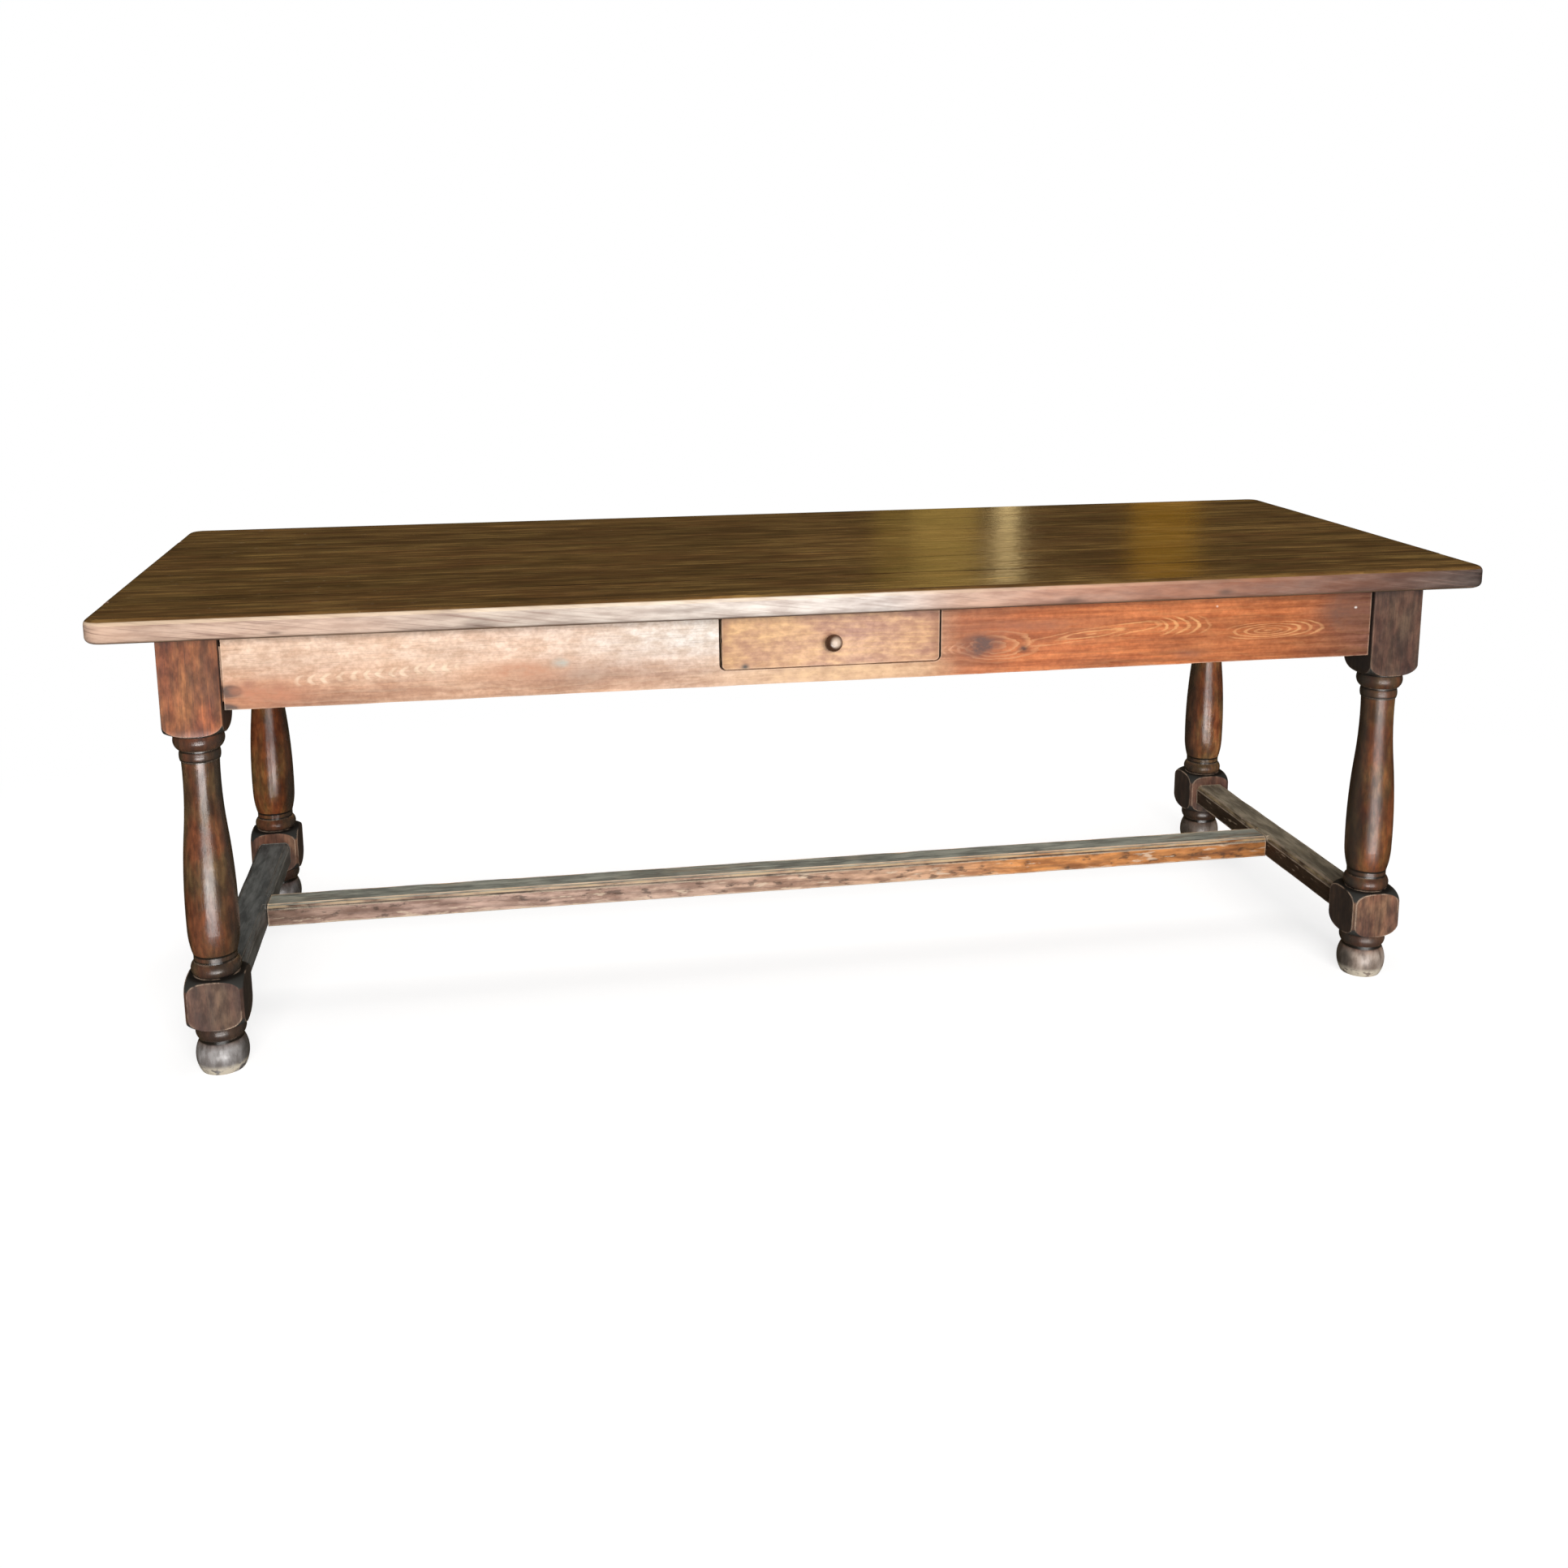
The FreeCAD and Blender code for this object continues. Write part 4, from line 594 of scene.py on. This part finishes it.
def loops(tree, place, centre, tilt, reach, spacing, half, opening, last):
    """Nested loops of grain, drawn out along a line that rises by tilt, cut off left of the opening."""
    away = axes(tree, vector(tree, "SUBTRACT", place, (*centre, 0)))
    rise = calc(tree, "MULTIPLY_ADD", away[0], -tilt, away[1])
    parts = {0: calc(tree, "DIVIDE", away[0], reach[0]), 1: calc(tree, "DIVIDE", rise, reach[1])}
    far = length(tree, add(tree, "CombineXYZ", parts).outputs[0])
    far = calc(tree, "MULTIPLY_ADD", cloud(tree, place, GRAIN_WOBBLE, 0, 1, 3), spacing, far)
    step = calc(tree, "FRACT", calc(tree, "DIVIDE", far, spacing))
    off = calc(tree, "ABSOLUTE", rise)
    drawn = calc(tree, "MULTIPLY", band(tree, step, *LOOP_LINE), fade(tree, off, half, half * 0.6))
    drawn = calc(tree, "MULTIPLY", drawn, fade(tree, far, last + 0.3, last))
    return calc(tree, "MULTIPLY", drawn, fade(tree, parts[0], opening - 0.4, opening))


APRON_ROUNDING, APRON_WEAR, APRON_STEP = 0.0012, 0.0016, 0.05
APRON_RELIEF, APRON_GLOSS = 0.00015, 0.25
APRON_FACE_Z = 0.65
APRON_DEEP = (0.16, 0.06, 0.026)
# APRON_DIRT_AND_SHADE darkens real marks and knocks, and paints shade on the end faces in the gaps.
APRON_DIRT_AND_SHADE = (0.055, 0.052, 0.048)
APRON_WORN = (0.80, 0.58, 0.42)
APRON_STAIN = ((0.70, 0.60, 0.54), (1.15, 1.15, 1.15))
APRON_MOTTLE = ((0.86, 0.80, 0.75), (1.06, 1.07, 1.09))
APRON_SPECKLE = ((0.92, 0.88, 0.85), (1.08, 1.08, 1.08))
APRON_STREAKS = ((0.70, 0.60, 0.52), (1.12, 1.12, 1.12))
STREAKED_FROM = (0.1, 0.3)
# APRON_GLARE and its reaches paint the glare of daylight on the left of the front: a painted reflection.
APRON_GLARE = ((-0.9, (0.94, 0.74, 0.58)), (-0.2, (0.90, 0.93, 0.91)), (-0.5, (0.90, 0.72, 0.59)))
GLARE_LEFT_OF = (0.22, -0.12)
GLARE_ABOVE = (-0.035, 0.04)


def apron_wood(name, axis, outer, stops, line, swells, marks=(), glare_share=0.0, heads=()):
    """Flat-sawn apron board: swells push the rings into ovals, marks are spots of their own colour.

    The grain runs along axis, and outer is 0 or 1 for a board that shows its low or its high side.
    """
    material, tree = new_material(name + "_wood")
    through = 1 - axis
    centre = [0, 0, APRON_FACE_Z]
    centre[through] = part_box(name)[outer][through]
    place = along_grain(tree, (axis, 2, through), centre)
    split = axes(tree, place)
    pushed = 0.0
    shown = 0.0
    for middle, reach, rise in swells:
        swell = oval(tree, place, middle, reach)
        pushed = calc(tree, "MULTIPLY_ADD", swell, rise, pushed)
        shown = calc(tree, "MAXIMUM", shown, fade(tree, swell, 0.0, 0.25))
    grain = wood_grain(tree, place, seed=len(name), ring_width=0.0065, pith_across=0.0, pith_depth=0.08,
                       wander=0.04, swell=pushed)
    colour = ramp_along(tree, split[0], -1.0, 1.0, *stops)
    colour = toned(tree, colour, grain["Stain"], *APRON_STAIN)
    colour = laid(tree, colour, APRON_DEEP, grain["Smoke"], 0.34)
    colour = laid(tree, colour, APRON_DEEP, grain["Fibre"], 0.25)
    mottle = cloud(tree, place, (28, 46, 46), 0.33, 0.67, 6)
    # Painted reflection: the left of the face turns pale as if daylight glared on it.
    glare = fade(tree, split[0], *GLARE_LEFT_OF)
    glare = calc(tree, "MULTIPLY", glare, fade(tree, split[1], *GLARE_ABOVE))
    glare = calc(tree, "MULTIPLY", glare, calc(tree, "MULTIPLY_ADD", mottle, 0.14, 0.70))
    pale = ramp_along(tree, split[0], -1.0, 0.3, *APRON_GLARE)
    colour = laid(tree, colour, pale, glare, glare_share)
    colour = toned(tree, colour, mottle, *APRON_MOTTLE)
    speckle = cloud(tree, place, (120, 150, 150), 0.36, 0.64, 3)
    colour = toned(tree, colour, speckle, *APRON_SPECKLE)
    streaky = cloud(tree, place, (4, 120, 120), 0.36, 0.62, 6)
    share = calc(tree, "MULTIPLY_ADD", fade(tree, split[0], *STREAKED_FROM), 0.85, 0.15)
    colour = toned(tree, colour, streaky, *APRON_STREAKS, share=share)
    line_colour = ramp_along(tree, split[0], -1.0, 1.0, *line)
    drawn = calc(tree, "MULTIPLY", grain["Ring"], calc(tree, "MULTIPLY_ADD", shown, 0.6, 0.10))
    drawn = calc(tree, "MULTIPLY", drawn, cloud(tree, place, (9, 40, 40), 0.28, 0.5, 3))
    for draw, *sizes in heads:
        head = draw(tree, place, *sizes)
        head = calc(tree, "MULTIPLY", head, calc(tree, "MULTIPLY_ADD", mottle, 0.5, 0.32))
        drawn = calc(tree, "MAXIMUM", drawn, head)
    colour = blend(tree, drawn, colour, line_colour)
    colour = laid(tree, colour, APRON_DEEP, grain["Pore"], 0.2)
    ragged = calc(tree, "MULTIPLY_ADD", mottle, 0.9, 0.4)
    for middle, reach, spot, strength in marks:
        share = calc(tree, "MULTIPLY", oval(tree, place, middle, reach), strength)
        colour = laid(tree, colour, spot, share, ragged)
    colour = blend(tree, mask_of(tree, arris, place, 0.4), colour, APRON_WORN)
    # Painted shade: the end faces in the gaps go dark.
    colour = blend(tree, shaded_end_faces(tree, axis), colour, APRON_DIRT_AND_SHADE)
    rough = calc(tree, "MULTIPLY_ADD", grain["Stain"], 0.12, 0.34)
    relief = calc(tree, "SUBTRACT", grain["Ring"], grain["Fibre"])
    finish_wood(tree, colour, rough, relief, APRON_RELIEF, APRON_GLOSS)
    return material


# On the front, places are metres to the right of the middle and above APRON_FACE_Z.
# The front's stain along its length, with painted light in it: paler towards the left, darker towards the
# right end.
FRONT_STAIN_AND_LIGHT = ((-0.95, (0.72, 0.38, 0.22)), (-0.62, (0.77, 0.51, 0.35)), (-0.46, (0.76, 0.48, 0.32)),
               (-0.2, (0.90, 0.68, 0.52)), (0.16, (0.70, 0.44, 0.27)), (0.22, (0.60, 0.215, 0.088)),
               (0.32, (0.64, 0.205, 0.069)), (0.50, (0.76, 0.25, 0.081)), (0.80, (0.57, 0.19, 0.065)),
               (0.95, (0.20, 0.095, 0.073)))
FRONT_LINES = ((-0.9, (0.92, 0.72, 0.52)), (-0.2, (0.92, 0.76, 0.58)), (0.25, (0.62, 0.28, 0.14)),
               (0.5, (0.88, 0.46, 0.18)), (0.95, (0.66, 0.34, 0.15)))
FRONT_SWELLS = (((0.28, -0.002), (0.09, 0.034), -0.022),)
FRONT_HEADS = ((arrows, (-0.835, -0.006), (-0.60, 0.005), 0.011, 0.020, 1.1),
               (arrows, (0.19, -0.004), (0.235, -0.002), 0.010, 0.014, 1.5),
               (loops, (0.445, 0.012), 0.105, (0.105, 0.009), 0.55, 0.012, -0.9, 1.3),
               (loops, (0.52, 0.020), 0.0, (0.045, 0.012), 0.42, 0.018, 1.2, 3.0),
               (loops, (0.76, 0.005), 0.02, (0.050, 0.009), 0.40, 0.017, -1.2, 2.2))
FRONT_MARKS = (((-0.938, -0.019), (0.026, 0.014), APRON_DIRT_AND_SHADE, 3.2),
               ((-0.950, -0.046), (0.034, 0.013), APRON_DIRT_AND_SHADE, 3.2),
               ((-0.89, -0.024), (0.10, 0.036), (0.54, 0.21, 0.11), 0.85),
               ((-0.907, -0.007), (0.016, 0.013), (0.36, 0.15, 0.09), 0.8),
               ((-0.868, -0.013), (0.015, 0.012), (0.40, 0.16, 0.09), 0.8),
               ((-0.50, -0.006), (0.12, 0.026), (0.54, 0.25, 0.14), 0.85),
               ((-0.437, 0.004), (0.020, 0.013), (0.50, 0.50, 0.44), 1.3),
               ((-0.40, -0.02), (0.05, 0.03), (0.44, 0.30, 0.22), 0.5),
               ((0.253, 0.001), (0.055, 0.030), (0.14, 0.07, 0.055), 1.3),
               ((0.326, -0.009), (0.015, 0.011), (0.13, 0.05, 0.03), 1.2),
               ((0.326, 0.03), (0.20, 0.02), (0.30, 0.11, 0.06), 0.5),
               ((0.62, -0.030), (0.05, 0.012), (0.26, 0.10, 0.06), 0.6),
               ((0.90, 0.03), (0.07, 0.06), (0.17, 0.08, 0.055), 0.8),
               ((0.0, -0.034), (0.26, 0.028), (0.84, 0.56, 0.32), 0.85),
               ((0.919, 0.038), (0.004, 0.003), (0.95, 0.9, 0.85), 0.9),
               ((0.665, 0.050), (0.003, 0.003), (0.9, 0.8, 0.7), 0.8))
FRONT_GLARE = 0.85

board = worn_copy("front_apron", APRON_ROUNDING, APRON_WEAR, APRON_STEP, axis=0)
coat(board, apron_wood("front_apron", axis=0, outer=0, stops=FRONT_STAIN_AND_LIGHT, line=FRONT_LINES,
                       swells=FRONT_SWELLS, marks=FRONT_MARKS, glare_share=FRONT_GLARE, heads=FRONT_HEADS))

PLAIN_STOPS = ((-0.9, (0.46, 0.21, 0.11)), (0.1, (0.54, 0.23, 0.10)), (0.9, (0.42, 0.18, 0.09)))
PLAIN_LINES = ((-0.9, (0.80, 0.46, 0.22)), (0.9, (0.80, 0.42, 0.19)))
BACK_SWELLS = (((0.35, 0.005), (0.32, 0.028), 0.05), ((-0.5, -0.01), (0.22, 0.024), 0.04))
END_SWELLS = (((0.08, 0.004), (0.20, 0.026), 0.04),)
for name, axis, outer, swells in (
    ("back_apron", 0, 1, BACK_SWELLS),
    ("left_apron", 1, 0, END_SWELLS),
    ("right_apron", 1, 1, END_SWELLS),
):
    board = worn_copy(name, APRON_ROUNDING, APRON_WEAR, APRON_STEP, axis)
    coat(board, apron_wood(name, axis, outer, PLAIN_STOPS, PLAIN_LINES, swells))


# Hidden pieces: the runners and stops that guide the drawer, the buttons and screws that hold the top,
# and the splines between the boards. The wood is bare and brown with age, the screws dull steel.
INNER_PALE = (0.30, 0.19, 0.11)
INNER_DEEP = (0.10, 0.055, 0.03)
BARE_RELIEF = 0.0003
STEEL_GREY = (0.48, 0.47, 0.45)
STEEL_RUST = (0.16, 0.10, 0.06)


def bare_wood(name, order, pale, deep):
    """Unfinished wood, pale with darker fibres, rings and smoky patches."""
    material, tree = new_material(name)
    place = along_grain(tree, order)
    grain = wood_grain(tree, place, seed=7.0, ring_width=0.006, pith_across=0.05, pith_depth=0.6,
                       wander=0.04)
    colour = laid(tree, pale, deep, grain["Fibre"], 0.6)
    colour = laid(tree, colour, deep, grain["Ring"], 0.4)
    colour = laid(tree, colour, deep, grain["Smoke"], 0.35)
    rough = calc(tree, "MULTIPLY_ADD", grain["Stain"], 0.15, 0.65)
    finish_wood(tree, colour, rough, grain["Fibre"], BARE_RELIEF)
    return material


for name in ("left_runner", "right_runner", "drawer_stops", "top_buttons"):
    coat(nodes[name], bare_wood(name + "_wood", (1, 0, 2), INNER_PALE, INNER_DEEP))
coat(nodes["board_splines"], bare_wood("board_splines_wood", (0, 1, 2), INNER_PALE, INNER_DEEP))

steel, tree = new_material("dull_steel")
tarnish = cloud(tree, along_grain(tree, (2, 0, 1)), (300, 300, 300), 0.35, 0.7)
rough = calc(tree, "MULTIPLY_ADD", tarnish, 0.3, 0.35)
sockets = {"Base Color": blend(tree, tarnish, STEEL_GREY, STEEL_RUST), "Metallic": 0.9, "Roughness": rough}
add(tree, "OutputMaterial", {"Surface": add(tree, "BsdfPrincipled", sockets).outputs[0]})
coat(nodes["button_screws"], steel)


# Top: six planks 145 mm wide and 38 mm thick, splined edge to edge, stained dark and waxed.
# The outer edge is rounded over, and its stain has rubbed away to pale wood, most of all at the left; painted
# light also makes the edge pale at the left and near black at the right end.
# Buttons hold it to the aprons from below.
BOARDS = 6
HALF_LENGTH, HALF_TOP, TOP_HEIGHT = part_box(f"top_board_{BOARDS}")[1]
PLANK = 2 * HALF_TOP / BOARDS
BOARD_ROUNDING = 0.0006
OUTER_WEAR, INNER_WEAR = 0.0011, 0.0004
OUTER_STEP, INNER_STEP = 0.045, 0.0
TOP_RELIEF = -0.00012
JOINT_FADE = (PLANK / 2 - 0.0016, PLANK / 2 - 0.0008)
RIM_FADE = (0.0125, 0.0095)
TOP_DEEP = (0.040, 0.022, 0.009)
TOP_BODY = (0.120, 0.068, 0.022)
TOP_LIGHT = (0.265, 0.160, 0.056)
TOP_RED = (0.170, 0.072, 0.028)
TOP_RUBBED = (0.86, 0.68, 0.46)
TOP_SCUFFED = (0.34, 0.26, 0.17)
TOP_JOINT = (0.012, 0.008, 0.005)
TOP_PATCHES = ((0.64, 0.57, 0.52), (1.28, 1.30, 1.26))
LONG_STREAKS = ((0.62, 0.58, 0.56), (1.40, 1.38, 1.30))
SHORT_STREAKS = ((0.72, 0.70, 0.70), (1.28, 1.28, 1.24))
# Partly the edge's own stain, partly painted light: paler towards the left, near black towards the right end.
EDGE_TONE_AND_LIGHT = ((-1.12, (0.61, 0.41, 0.30)), (-0.7, (0.66, 0.49, 0.39)), (-0.55, (0.65, 0.54, 0.45)),
              (-0.2, (0.78, 0.70, 0.63)), (0.08, (0.79, 0.72, 0.67)), (0.2, (0.67, 0.44, 0.33)),
              (0.35, (0.52, 0.26, 0.17)), (0.7, (0.28, 0.115, 0.067)), (1.12, (0.031, 0.020, 0.018)))
EDGE_STREAK = (0.28, 0.16, 0.12)
EDGE_SMOKE = (0.38, 0.31, 0.27)
EDGE_DEEP = (0.10, 0.06, 0.045)
EDGE_PATCHES = ((0.80, 0.75, 0.74), (1.17, 1.19, 1.20))
# Dark marks on the edge: the place from the middle and from the upper face, the reach, the strength.
EDGE_MARKS = (((0.391, -0.030), (0.030, 0.010), 0.6), ((0.656, -0.025), (0.022, 0.010), 0.6),
              ((-0.86, -0.029), (0.02, 0.004), 0.6), ((-0.56, -0.030), (0.04, 0.02), 0.4),
              ((-0.25, -0.02), (0.10, 0.008), 0.3))

top_wood, tree = new_material("top_wood")
place = along_grain(tree, (0, 1, 2), (0, -HALF_TOP, TOP_HEIGHT))
split = axes(tree, place)
plank = calc(tree, "FLOOR", calc(tree, "DIVIDE", split[1], PLANK))
within = calc(tree, "SUBTRACT", calc(tree, "MULTIPLY_ADD", plank, -PLANK, split[1]), PLANK / 2)
own = add(tree, "CombineXYZ", {0: split[0], 1: within, 2: split[2]}).outputs[0]
chance = add(tree, "TexWhiteNoise", {"W": plank}, noise_dimensions="1D").outputs["Value"]
seed = calc(tree, "MULTIPLY", plank, 1.37)
pith = calc(tree, "MULTIPLY_ADD", chance, 0.12, -0.06)
grain = wood_grain(tree, own, seed, ring_width=0.011, pith_across=pith, pith_depth=-0.07, wander=0.05)
colour = blend(tree, grain["Stain"], TOP_BODY, TOP_LIGHT)
colour = toned(tree, colour, cloud(tree, place, (8, 26, 26), 0.34, 0.66, 6), *TOP_PATCHES)
colour = laid(tree, colour, TOP_RED, grain["Smoke"], 0.5)
streak = cloud(tree, own, (1.3, 75, 75), 0.34, 0.66, 5)
colour = toned(tree, colour, streak, *LONG_STREAKS)
colour = toned(tree, colour, cloud(tree, own, (9, 130, 130), 0.34, 0.66, 6), *SHORT_STREAKS)
colour = laid(tree, colour, TOP_DEEP, grain["Fibre"], 0.4)
colour = laid(tree, colour, TOP_DEEP, grain["Ring"], 0.3)
colour = laid(tree, colour, TOP_DEEP, grain["Pore"], 0.4)
shade = calc(tree, "MULTIPLY_ADD", chance, 0.24, 0.88)
board_tone = add(tree, "CombineXYZ", {0: shade, 1: shade, 2: shade}).outputs[0]
colour = blend(tree, 1.0, colour, board_tone, "MULTIPLY")
scuff = cloud(tree, place, (45, 70, 70), 0.64, 0.72, 4)
scuff = calc(tree, "MULTIPLY", scuff, fade(tree, split[0], -0.2, -0.9))
colour = laid(tree, colour, TOP_SCUFFED, scuff, 0.45)
joint = fade(tree, calc(tree, "ABSOLUTE", within), *JOINT_FADE)
colour = laid(tree, colour, TOP_JOINT, joint, cloud(tree, place, (5, 3, 3), 0.3, 0.6, 4))

upward = axes(tree, add(tree, "NewGeometry").outputs["Normal"])[2]
to_end = calc(tree, "SUBTRACT", HALF_LENGTH, calc(tree, "ABSOLUTE", split[0]))
from_middle = calc(tree, "ABSOLUTE", calc(tree, "SUBTRACT", split[1], HALF_TOP))
to_side = calc(tree, "SUBTRACT", HALF_TOP, from_middle)
rim = fade(tree, calc(tree, "MINIMUM", to_end, to_side), *RIM_FADE)
side = calc(tree, "MULTIPLY", fade(tree, upward, 0.72, 0.45), rim)
edge_colour = ramp_along(tree, split[0], -HALF_LENGTH, HALF_LENGTH, *EDGE_TONE_AND_LIGHT)
slant = calc(tree, "MULTIPLY_ADD", split[0], 0.14, split[2])
slanted = add(tree, "CombineXYZ", {0: split[0], 1: slant, 2: split[1]}).outputs[0]
edge_line = cloud(tree, slanted, (6, 260, 6), 0.48, 0.66, 5)
lined = calc(tree, "MULTIPLY_ADD", fade(tree, split[0], -0.3, -0.7), 0.55, 0.32)
edge_colour = laid(tree, edge_colour, EDGE_STREAK, edge_line, lined)
edge_colour = laid(tree, edge_colour, EDGE_SMOKE, grain["Smoke"], 0.3)
edge_colour = toned(tree, edge_colour, cloud(tree, place, (14, 40, 75), 0.33, 0.67, 6), *EDGE_PATCHES)
face = add(tree, "CombineXYZ", {0: split[0], 1: split[2]}).outputs[0]
for middle, reach, strength in EDGE_MARKS:
    edge_colour = laid(tree, edge_colour, EDGE_DEEP, oval(tree, face, middle, reach), strength)
colour = blend(tree, side, colour, edge_colour)
pale_line = calc(tree, "MULTIPLY", between(tree, upward, 0.25, 0.60, 0.12), rim)
pale_line = calc(tree, "MULTIPLY", pale_line, cloud(tree, place, (9, 9, 9), 0.25, 0.5))
leftward = calc(tree, "MULTIPLY", fade(tree, split[0], 1.1, -0.6), 0.4)
colour = laid(tree, colour, TOP_RUBBED, pale_line, leftward)
under = fade(tree, upward, -0.5, -0.9)
colour = blend(tree, under, colour, blend(tree, grain["Fibre"], INNER_PALE, INNER_DEEP))

rough = calc(tree, "MULTIPLY_ADD", grain["Fibre"], 0.08, 0.07)
rough = calc(tree, "MULTIPLY_ADD", streak, 0.10, rough)
rough = calc(tree, "MAXIMUM", rough, calc(tree, "MULTIPLY", side, 0.7))
apart = add(tree, "CombineXYZ", {0: calc(tree, "MULTIPLY", plank, 3.7)}).outputs[0]
hollows = cloud(tree, vector(tree, "ADD", own, apart), (11, 30, 30), 0.25, 0.75, 3)
relief = calc(tree, "MULTIPLY_ADD", hollows, 2.2, calc(tree, "ADD", grain["Fibre"], grain["Ring"]))
finish_wood(tree, colour, rough, relief, TOP_RELIEF)
for number in range(1, BOARDS + 1):
    outer = number in (1, BOARDS)
    wear, step = (OUTER_WEAR, OUTER_STEP) if outer else (INNER_WEAR, INNER_STEP)
    coat(worn_copy(f"top_board_{number}", BOARD_ROUNDING, wear, step, axis=0), top_wood)


# Drawer: a plain fronted box that slides on the runners, its sides dovetailed into the front.
# The front is stained like the aprons but lighter, and the box is bare pale wood.
DRAWER_ROUNDING, DRAWER_WEAR, DRAWER_STEP = 0.0008, 0.0012, 0.03
DRAWER_RELIEF, DRAWER_GLOSS = 0.00012, 0.25
DRAWER_FACE_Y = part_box("drawer_front")[0].y
DRAWER_FACE_Z = 0.675
SHADE_SIDES = (0.162, 0.181)
SHADE_TOP = (0.034, 0.047)
DRAWER_STOPS = ((-0.17, (0.70, 0.45, 0.25)), (-0.06, (0.73, 0.48, 0.30)), (0.03, (0.66, 0.43, 0.31)),
                (0.17, (0.58, 0.34, 0.22)))
DRAWER_DEEP = (0.30, 0.13, 0.06)
DRAWER_LINE = (0.90, 0.62, 0.34)
DRAWER_STAIN = ((0.84, 0.78, 0.74), (1.10, 1.10, 1.10))
DRAWER_HAZE = ((0.78, 0.71, 0.78), (1.09, 1.09, 0.98))
DRAWER_MOTTLE = ((0.82, 0.75, 0.73), (1.13, 1.12, 1.08))
DRAWER_KNOCK = ((-0.142, -0.042), (0.010, 0.008))
BOX_PALE = (0.52, 0.36, 0.21)
BOX_DEEP = (0.27, 0.16, 0.085)

drawer_wood, tree = new_material("drawer_front_wood")
place = along_grain(tree, (0, 2, 1), (0, DRAWER_FACE_Y, DRAWER_FACE_Z))
split = axes(tree, place)
grain = wood_grain(tree, place, seed=11.0, ring_width=0.008, pith_across=0.05, pith_depth=0.06, wander=0.05)
colour = ramp_along(tree, split[0], -0.18, 0.18, *DRAWER_STOPS)
colour = toned(tree, colour, grain["Stain"], *DRAWER_STAIN)
colour = laid(tree, colour, DRAWER_DEEP, grain["Fibre"], 0.15)
colour = laid(tree, colour, DRAWER_LINE, grain["Ring"], 0.25)
colour = toned(tree, colour, cloud(tree, place, (11, 22, 22), 0.34, 0.66, 5), *DRAWER_HAZE)
colour = toned(tree, colour, cloud(tree, place, (55, 85, 85), 0.33, 0.67, 5), *DRAWER_MOTTLE)
# Painted shade: darker towards the sides and towards the upper edge, under the top's overhang.
shaded_border = fade(tree, calc(tree, "ABSOLUTE", split[0]), *SHADE_SIDES)
shaded_border = calc(tree, "MAXIMUM", shaded_border, fade(tree, split[1], *SHADE_TOP))
colour = laid(tree, colour, DRAWER_DEEP, shaded_border, 0.5)
colour = blend(tree, oval(tree, place, *DRAWER_KNOCK), colour, APRON_DIRT_AND_SHADE)
# Painted shade: the drawer front's end faces in its gaps go dark.
colour = blend(tree, shaded_end_faces(tree, 0), colour, APRON_DIRT_AND_SHADE)
colour = blend(tree, mask_of(tree, arris, place, 0.4), colour, APRON_WORN)
rough = calc(tree, "MULTIPLY_ADD", grain["Stain"], 0.12, 0.34)
relief = calc(tree, "SUBTRACT", grain["Ring"], grain["Fibre"])
finish_wood(tree, colour, rough, relief, DRAWER_RELIEF, DRAWER_GLOSS)
drawer_face = worn_copy("drawer_front", DRAWER_ROUNDING, DRAWER_WEAR, DRAWER_STEP,
                        axis=0)
coat(drawer_face, drawer_wood)
for name, order in (("drawer_left_side", (1, 2, 0)), ("drawer_right_side", (1, 2, 0)),
                    ("drawer_back", (0, 2, 1)), ("drawer_bottom", (0, 1, 2))):
    coat(nodes[name], bare_wood(name + "_wood", order, BOX_PALE, BOX_DEEP))


# Knob: turned from one piece of hard wood, waxed and polished by hands, its tenon glued into the front.
# A dark ring of painted shade sits where it meets the drawer, and a painted highlight lies on its face.
KNOB_BROWN = (0.070, 0.032, 0.018)
KNOB_LIGHT = (0.14, 0.066, 0.036)
KNOB_HIGHLIGHT = (0.64, 0.50, 0.39)
KNOB_DEEP = (0.03, 0.015, 0.009)
KNOB_RELIEF = 0.00005
HIGHLIGHT_SPOT = (0, 0.0025, 0.0025)
HIGHLIGHT_FADE = (0.0115, 0.004)
SHADE_RING = (-0.010, -0.003)

knob_wood, tree = new_material("knob_wood")
low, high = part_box("drawer_knob")
place = along_grain(tree, (1, 0, 2), ((low.x + high.x) / 2, DRAWER_FACE_Y, (low.z + high.z) / 2))
split = axes(tree, place)
grain = wood_grain(tree, place, seed=4.0, ring_width=0.003, pith_across=0.004, pith_depth=0.01, wander=0.004)
colour = blend(tree, grain["Stain"], KNOB_BROWN, KNOB_LIGHT)
colour = laid(tree, colour, KNOB_DEEP, grain["Ring"], 0.35)
# Painted highlight: a pale spot near the middle of the knob's face.
from_highlight = vector(tree, "MULTIPLY", vector(tree, "SUBTRACT", place, HIGHLIGHT_SPOT), (0, 1, 1))
colour = blend(tree, fade(tree, length(tree, from_highlight), *HIGHLIGHT_FADE), colour, KNOB_HIGHLIGHT)
# Painted shade: the knob goes near black towards the drawer face.
colour = blend(tree, fade(tree, split[0], *SHADE_RING), colour, KNOB_DEEP)
rough = calc(tree, "MULTIPLY_ADD", grain["Stain"], 0.1, 0.2)
finish_wood(tree, colour, rough, grain["Fibre"], KNOB_RELIEF)
coat(nodes["drawer_knob"], knob_wood)
